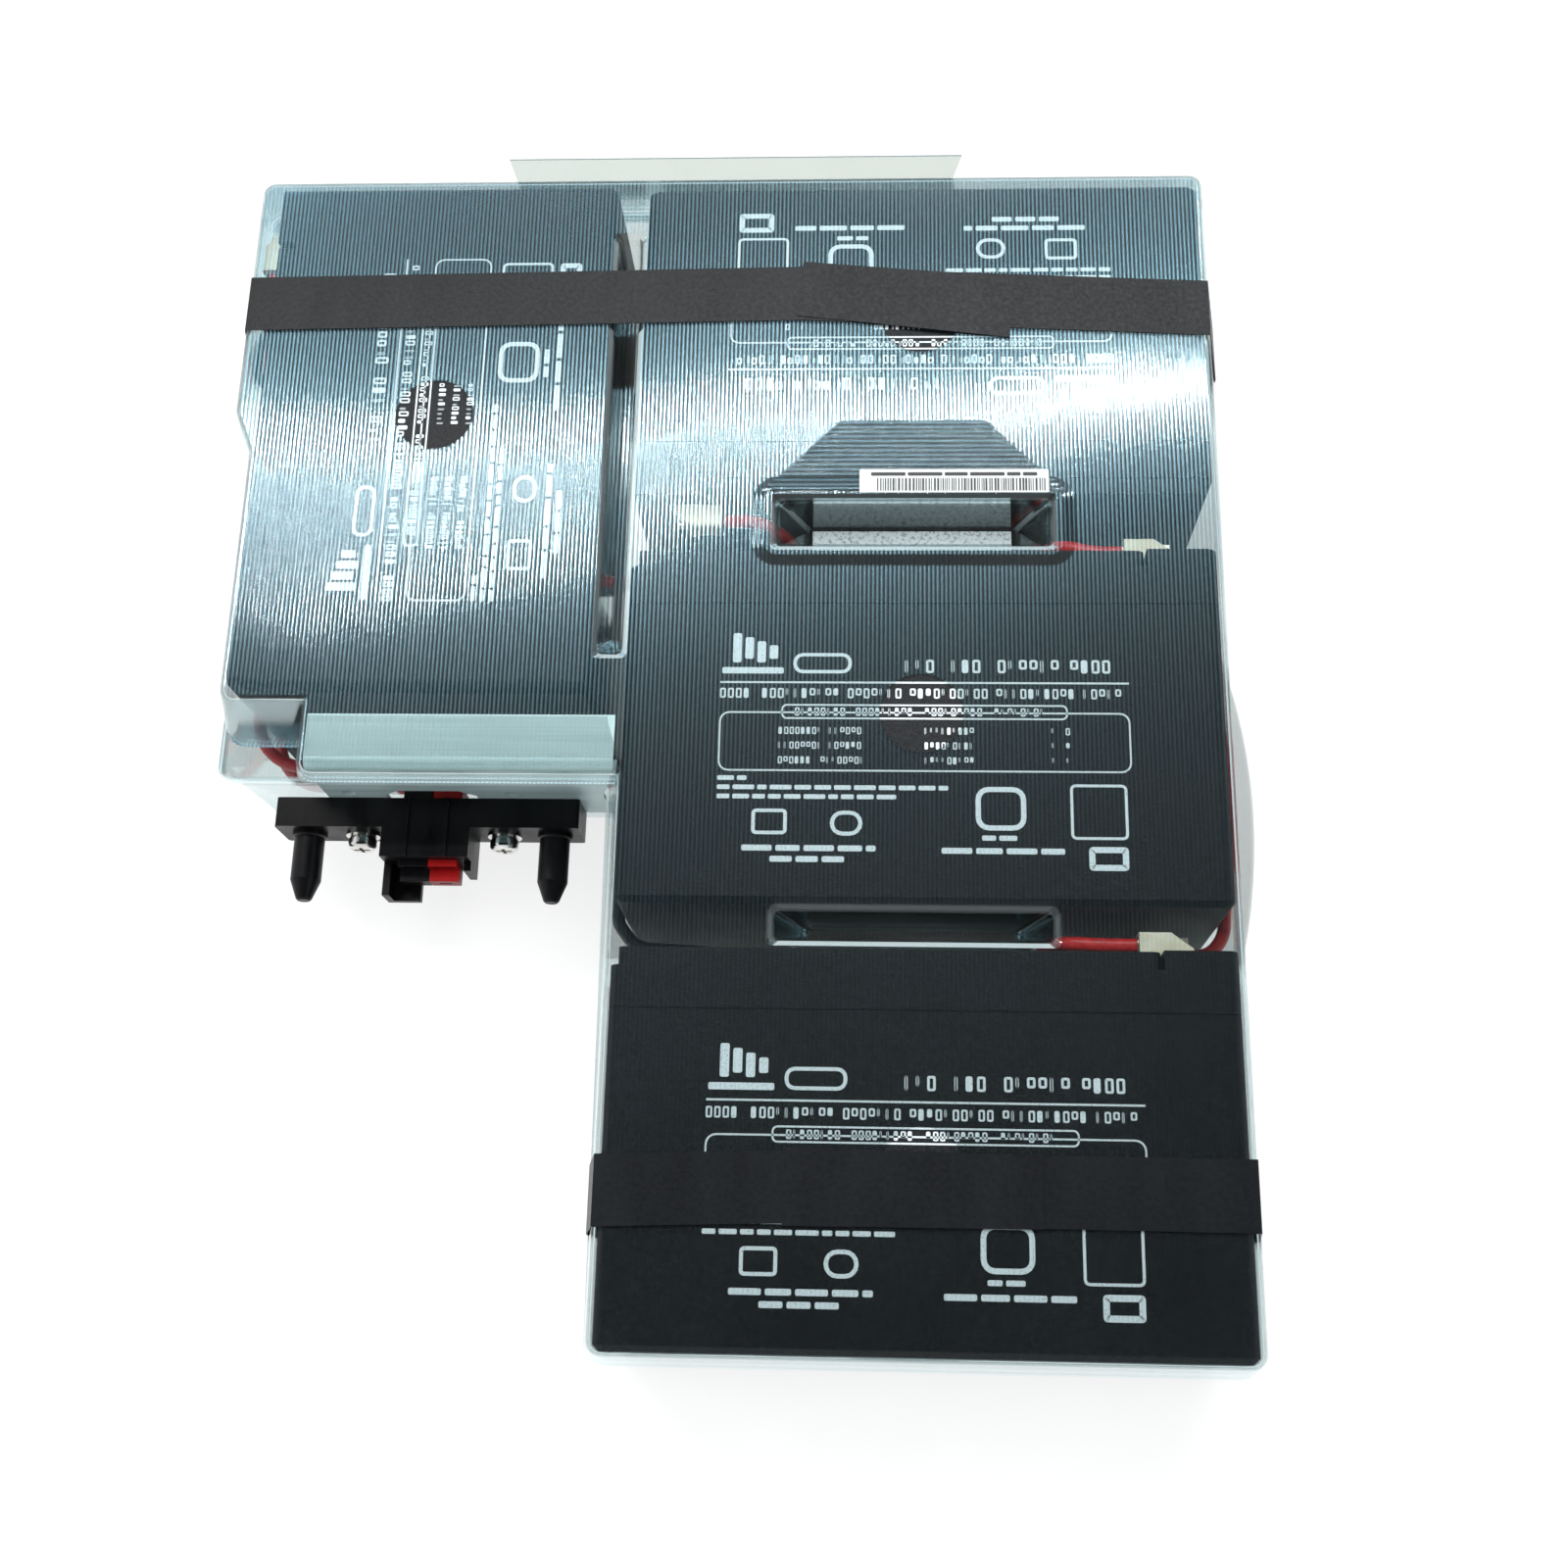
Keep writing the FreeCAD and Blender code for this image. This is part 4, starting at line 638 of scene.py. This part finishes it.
def inked(piece):
    """The flat piece, given the ink's thickness upwards."""
    thicken = piece.modifiers.new("ink", "SOLIDIFY")
    thicken.thickness = INK
    thicken.offset = 1.0
    bpy.context.view_layer.objects.active = piece
    bpy.ops.object.modifier_apply(modifier="ink")
    return piece


print("ink", round(INK / MM, 3), "mm thick")

# %% The print of one battery, in millimetres from its corner
LEFT, RIGHT = 24.5, 127.1       # where the print starts and ends along the battery
FRAME_LINE = 0.45


def print_heading():
    """A plain device of slanting bars, a ring, two rows of words and the line between them."""
    made = [island(LEFT + 0.4, 59.6, LEFT + 16.0, 61.3, 0.4)]
    for index in range(4):
        x = LEFT + 3.0 + 3.1 * index
        made.append(island(x, 62.6 + 1.0 * (index % 2), x + 2.2, 70.6 - 1.1 * index, 0.5))
    made.append(island(LEFT + 18.4, 59.7, LEFT + 33.2, 65.2, 2.4, 0.9))
    made += row_of_words(LEFT + 46.6, RIGHT, 59.9, 3.6, (13.0, 9.5, 16.0), True)
    made.append(island(LEFT, 57.0, RIGHT, 57.5))
    made += row_of_words(LEFT, RIGHT, 53.0, 2.7, (14.0, 20.0, 9.0), True)
    return made


def print_table():
    """A rounded frame with a heading tab and three rows of three columns."""
    made = [island(LEFT + 15.6, 47.4, LEFT + 87.2, 51.4, 1.4, FRAME_LINE)]
    made += row_of_words(LEFT + 19.0, LEFT + 84.0, 48.3, 2.2, (16.0, 14.0, 12.0), True)
    made.append(island(LEFT, 33.6, RIGHT, 49.4, 2.6, FRAME_LINE))
    for index in range(3):
        y = 43.4 - 3.9 * index
        for start, end, lengths in (
            (15.0, 38.0, (9.5, 11.5)),
            (51.5, 66.5, (6.5, 14.0)),
            (83.0, 88.5, (2.4, 3.6)),
        ):
            made += row_of_words(LEFT + start, LEFT + end, y, 1.9, lengths, True)
    return made


def print_foot():
    """Three rows of small words, then plain frames and rings with short rows below them."""
    made = []
    for index, end in enumerate((8.5, 58.5, 44.5)):
        made += row_of_words(LEFT, LEFT + end, 31.2 - 2.4 * index, 1.2, (3.2, 5.4, 4.2, 2.4))
    made.append(island(LEFT + 8.8, 17.2, LEFT + 17.6, 23.8, 1.2, 0.9))
    made.append(island(LEFT + 28.2, 17.0, LEFT + 36.2, 23.4, 3.1, 1.0))
    made += row_of_words(LEFT + 6.5, LEFT + 39.5, 13.0, 1.5, (6.0, 7.5, 4.5))
    made += row_of_words(LEFT + 13.5, LEFT + 32.5, 10.2, 1.5, (5.5, 4.2))
    made.append(island(LEFT + 64.0, 18.6, LEFT + 76.4, 29.8, 3.2, 1.3))
    made += row_of_words(LEFT + 65.5, LEFT + 75.5, 16.0, 1.3, (4.4, 3.4))
    made += row_of_words(LEFT + 55.6, LEFT + 85.6, 12.6, 1.5, (6.5, 4.5, 7.5))
    made.append(island(LEFT + 87.2, 16.4, LEFT + 101.2, 30.6, 1.4, 0.7))
    made.append(island(LEFT + 91.4, 8.6, LEFT + 101.0, 14.6, 1.0, 1.5))
    return made


def battery_print():
    return inked(joined(print_heading() + print_table() + print_foot(), "print_master"))


# %% [markdown]
# The ink is pale blue grey. It is not perfectly even: screen print has pinholes and thin
# edges, so a fine noise lets a little of the black through.

# %% The ink
def print_ink():
    made, shader = material("print_ink", (0.50, 0.57, 0.61), 0.5)
    vector = object_space(made)
    pinholes = noise(made, vector, 2200.0, 3.0, 0.65)
    tone = ramp(made, pinholes, [(0.30, (0.28, 0.33, 0.36)), (0.44, (0.74, 0.82, 0.85))])
    link(made, tone, shader.inputs["Base Color"])
    link(made, bump(made, pinholes, 0.3, 0.04 * MM), shader.inputs["Normal"])
    return made


def case_corner(battery):
    """Where a battery's own corner lies, and its turn about Z, from the places of its parts."""
    low, high = (Vector(corner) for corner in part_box(battery + "_case"))
    lid_low, lid_high = (Vector(corner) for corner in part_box(battery + "_lid"))
    ahead = ((lid_low + lid_high) - (low + high)) / 2.0
    if abs(ahead.x) > abs(ahead.y):
        return Vector((high.x, low.y, high.z)), math.radians(90)
    if ahead.y < 0:
        return Vector((high.x, high.y, high.z)), math.radians(180)
    return Vector((low.x, low.y, high.z)), 0.0


deselect()
master = battery_print()
ink = print_ink()
for battery in BATTERIES:
    corner, turn = case_corner(battery)
    copy = master.copy()
    copy.data = master.data.copy()
    copy.name = battery + "_print"
    bpy.context.scene.collection.objects.link(copy)
    copy.data.transform(Matrix.Translation(corner) @ Matrix.Rotation(turn, 4, "Z"))
    copy.data.materials.append(ink)
    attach(copy, "root")
print("islands' faces in one print:", len(master.data.polygons))
bpy.data.objects.remove(master)

# %% [markdown]
# ## The label
#
# A small white sticker lies behind the large pocket. It holds one field of upright bars
# and one short row of dashes. Bars are the same islands, with widths drawn by lot.

# %% Label bars
BAR_WIDTHS = (0.22, 0.32, 0.5)
BAR_GAPS = (0.22, 0.34, 0.5)
FIELD_LEFT, FIELD_RIGHT = 4.6, 1.2      # from the label's ends to the field of bars
FIELD_FOOT, FIELD_HEAD = 0.5, 4.1       # and its rows above the label's edge


def label_paper():
    made, shader = material("label_paper", (0.66, 0.69, 0.69), 0.5)
    fibres = noise(made, object_space(made), 900.0, 4.0, 0.6)
    tone = ramp(made, fibres, [(0.3, (0.60, 0.63, 0.63)), (0.7, (0.72, 0.75, 0.75))])
    link(made, tone, shader.inputs["Base Color"])
    link(made, bump(made, fibres, 0.2, 0.05 * MM), shader.inputs["Normal"])
    return made


def label_bars():
    low, high = (Vector(corner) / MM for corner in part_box("bar_label"))
    made = []
    x = low.x + FIELD_LEFT
    while x < high.x - FIELD_RIGHT:
        width = random.choice(BAR_WIDTHS)
        made.append(island(x, low.y + FIELD_FOOT, x + width, low.y + FIELD_HEAD))
        x += width + random.choice(BAR_GAPS)
    made += row_of_words(low.x + 3.0, high.x - 3.0, low.y + 4.8, 1.0, (3.5, 6.0, 9.0))
    bars = inked(joined(made, "label_bars"))
    bars.data.transform(Matrix.Translation((0, 0, high.z * MM)))
    return bars


dress(label_paper(), "bar_label")
deselect()
bars = label_bars()
label_ink = mottled("label_ink", (0.02, 0.02, 0.022), (0.05, 0.05, 0.055), 0.5, 1500.0)
bars.data.materials.append(label_ink)
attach(bars, "root")
print("label bars:", len(bars.data.polygons), "faces")

# %% [markdown]
# ## Studio
#
# A pale floor, a white surround and three lamps. The floor and the surround are plain
# white only to the camera, in mirrors and through clear things. A long strip lamp behind the
# cartridge is what the film mirrors as a bright band; two soft lamps fill the rest.

# %% Floor and surround
FLOOR_PLACE = (0.07, 0.03, -0.0005)
FLOOR_SIZE = 6.0
FLOOR_GLOW = 0.76
DIM, FULL = 0.5, 1.0            # the surround's strength as a light and as a backdrop


def seen_plainly(tree):
    """1 for rays from the camera, from mirrors and through clear things."""
    rays = tree.nodes.new("ShaderNodeLightPath")
    seen = rays.outputs["Is Camera Ray"]
    for kind in ("Is Glossy Ray", "Is Transmission Ray"):
        either = tree.nodes.new("ShaderNodeMath")
        either.operation = "MAXIMUM"
        tree.links.new(seen, either.inputs[0])
        tree.links.new(rays.outputs[kind], either.inputs[1])
        seen = either.outputs[0]
    return seen


def pale_floor():
    made, shader = material("pale_floor", (0.30, 0.30, 0.30), 0.9)
    tree = made.node_tree
    grain = noise(made, object_space(made), 60.0, 3.0)
    link(made, ramp(made, grain, [(0.3, 0.29), (0.7, 0.31)]), shader.inputs["Base Color"])
    glow = add(made, "ShaderNodeEmission", Strength=FLOOR_GLOW)
    both = add(made, "ShaderNodeAddShader")
    link(made, shader.outputs[0], both.inputs[0])
    link(made, glow.outputs[0], both.inputs[1])
    choice = add(made, "ShaderNodeMixShader")
    link(made, seen_plainly(tree), choice.inputs[0])
    link(made, shader.outputs[0], choice.inputs[1])
    link(made, both.outputs[0], choice.inputs[2])
    link(made, choice.outputs[0], tree.nodes["Material Output"].inputs["Surface"])
    return made


bpy.ops.mesh.primitive_plane_add(size=FLOOR_SIZE, location=FLOOR_PLACE)
floor = bpy.context.object
floor.name = "studio_floor"
floor.data.materials.append(pale_floor())
bpy.ops.object.transform_apply(location=True, rotation=True, scale=True)

world = bpy.data.worlds.new("surround")
world.use_nodes = True
bpy.context.scene.world = world
sky = world.node_tree.nodes["Background"]
sky.inputs["Color"].default_value = (0.94, 0.98, 1.0, 1.0)
strength = world.node_tree.nodes.new("ShaderNodeMapRange")
strength.inputs["To Min"].default_value = DIM
strength.inputs["To Max"].default_value = FULL
world.node_tree.links.new(seen_plainly(world.node_tree), strength.inputs["Value"])
world.node_tree.links.new(strength.outputs[0], sky.inputs["Strength"])
print("floor and surround ready")

# %% Lamps
def area_lamp(name, place, aim, size, power):
    """A rectangular lamp at a place in metres, turned to face a point."""
    data = bpy.data.lights.new(name, "AREA")
    data.shape = "RECTANGLE"
    data.size, data.size_y = size
    data.energy = power
    lamp = bpy.data.objects.new(name, data)
    lamp.location = place
    lamp.rotation_euler = (Vector(aim) - Vector(place)).to_track_quat("-Z", "Y").to_euler()
    bpy.context.scene.collection.objects.link(lamp)
    return lamp


area_lamp("strip", place=(-0.03, 0.585, 0.97), aim=(0.05, 0.08, 0.05),
          size=(1.3, 0.024), power=8.0)
ceiling = area_lamp("ceiling", place=(0.10, 0.22, 1.50), aim=(0.08, 0.02, 0.0),
                    size=(1.2, 1.0), power=13.0)
side_fill = area_lamp("side_fill", place=(-1.4, 0.1, 0.7), aim=(0.05, 0.05, 0.03),
                      size=(0.9, 0.6), power=6.0)
for lamp in (ceiling, side_fill):
    lamp.visible_glossy = False
print("three lamps lit")

# %% [markdown]
# A black flag hangs over everything, with the strip lamp under it. Film that faces up then
# mirrors the strip and nothing else, so the black of the front battery stays black, while
# the steep walls still mirror the white surround. Only mirrors see the flag.

# %% Flag
FLAG_HEIGHT = 1.25
FLAG_SIZE = (2.2, 2.0, 1.0)
bpy.ops.mesh.primitive_plane_add(size=1.0, location=(0.07, 0.05, FLAG_HEIGHT))
flag = bpy.context.object
flag.name = "black_flag"
flag.scale = FLAG_SIZE
bpy.ops.object.transform_apply(location=True, rotation=True, scale=True)
flag_cloth = mottled("flag_cloth", (0.004, 0.004, 0.004), (0.008, 0.008, 0.008), 0.95, 80.0)
flag_cloth.node_tree.nodes["Principled BSDF"].inputs["Specular IOR Level"].default_value = 0.0
flag.data.materials.append(flag_cloth)
flag.visible_camera = False
flag.visible_diffuse = False
flag.visible_shadow = False
print("flag hung at", FLAG_HEIGHT, "m")
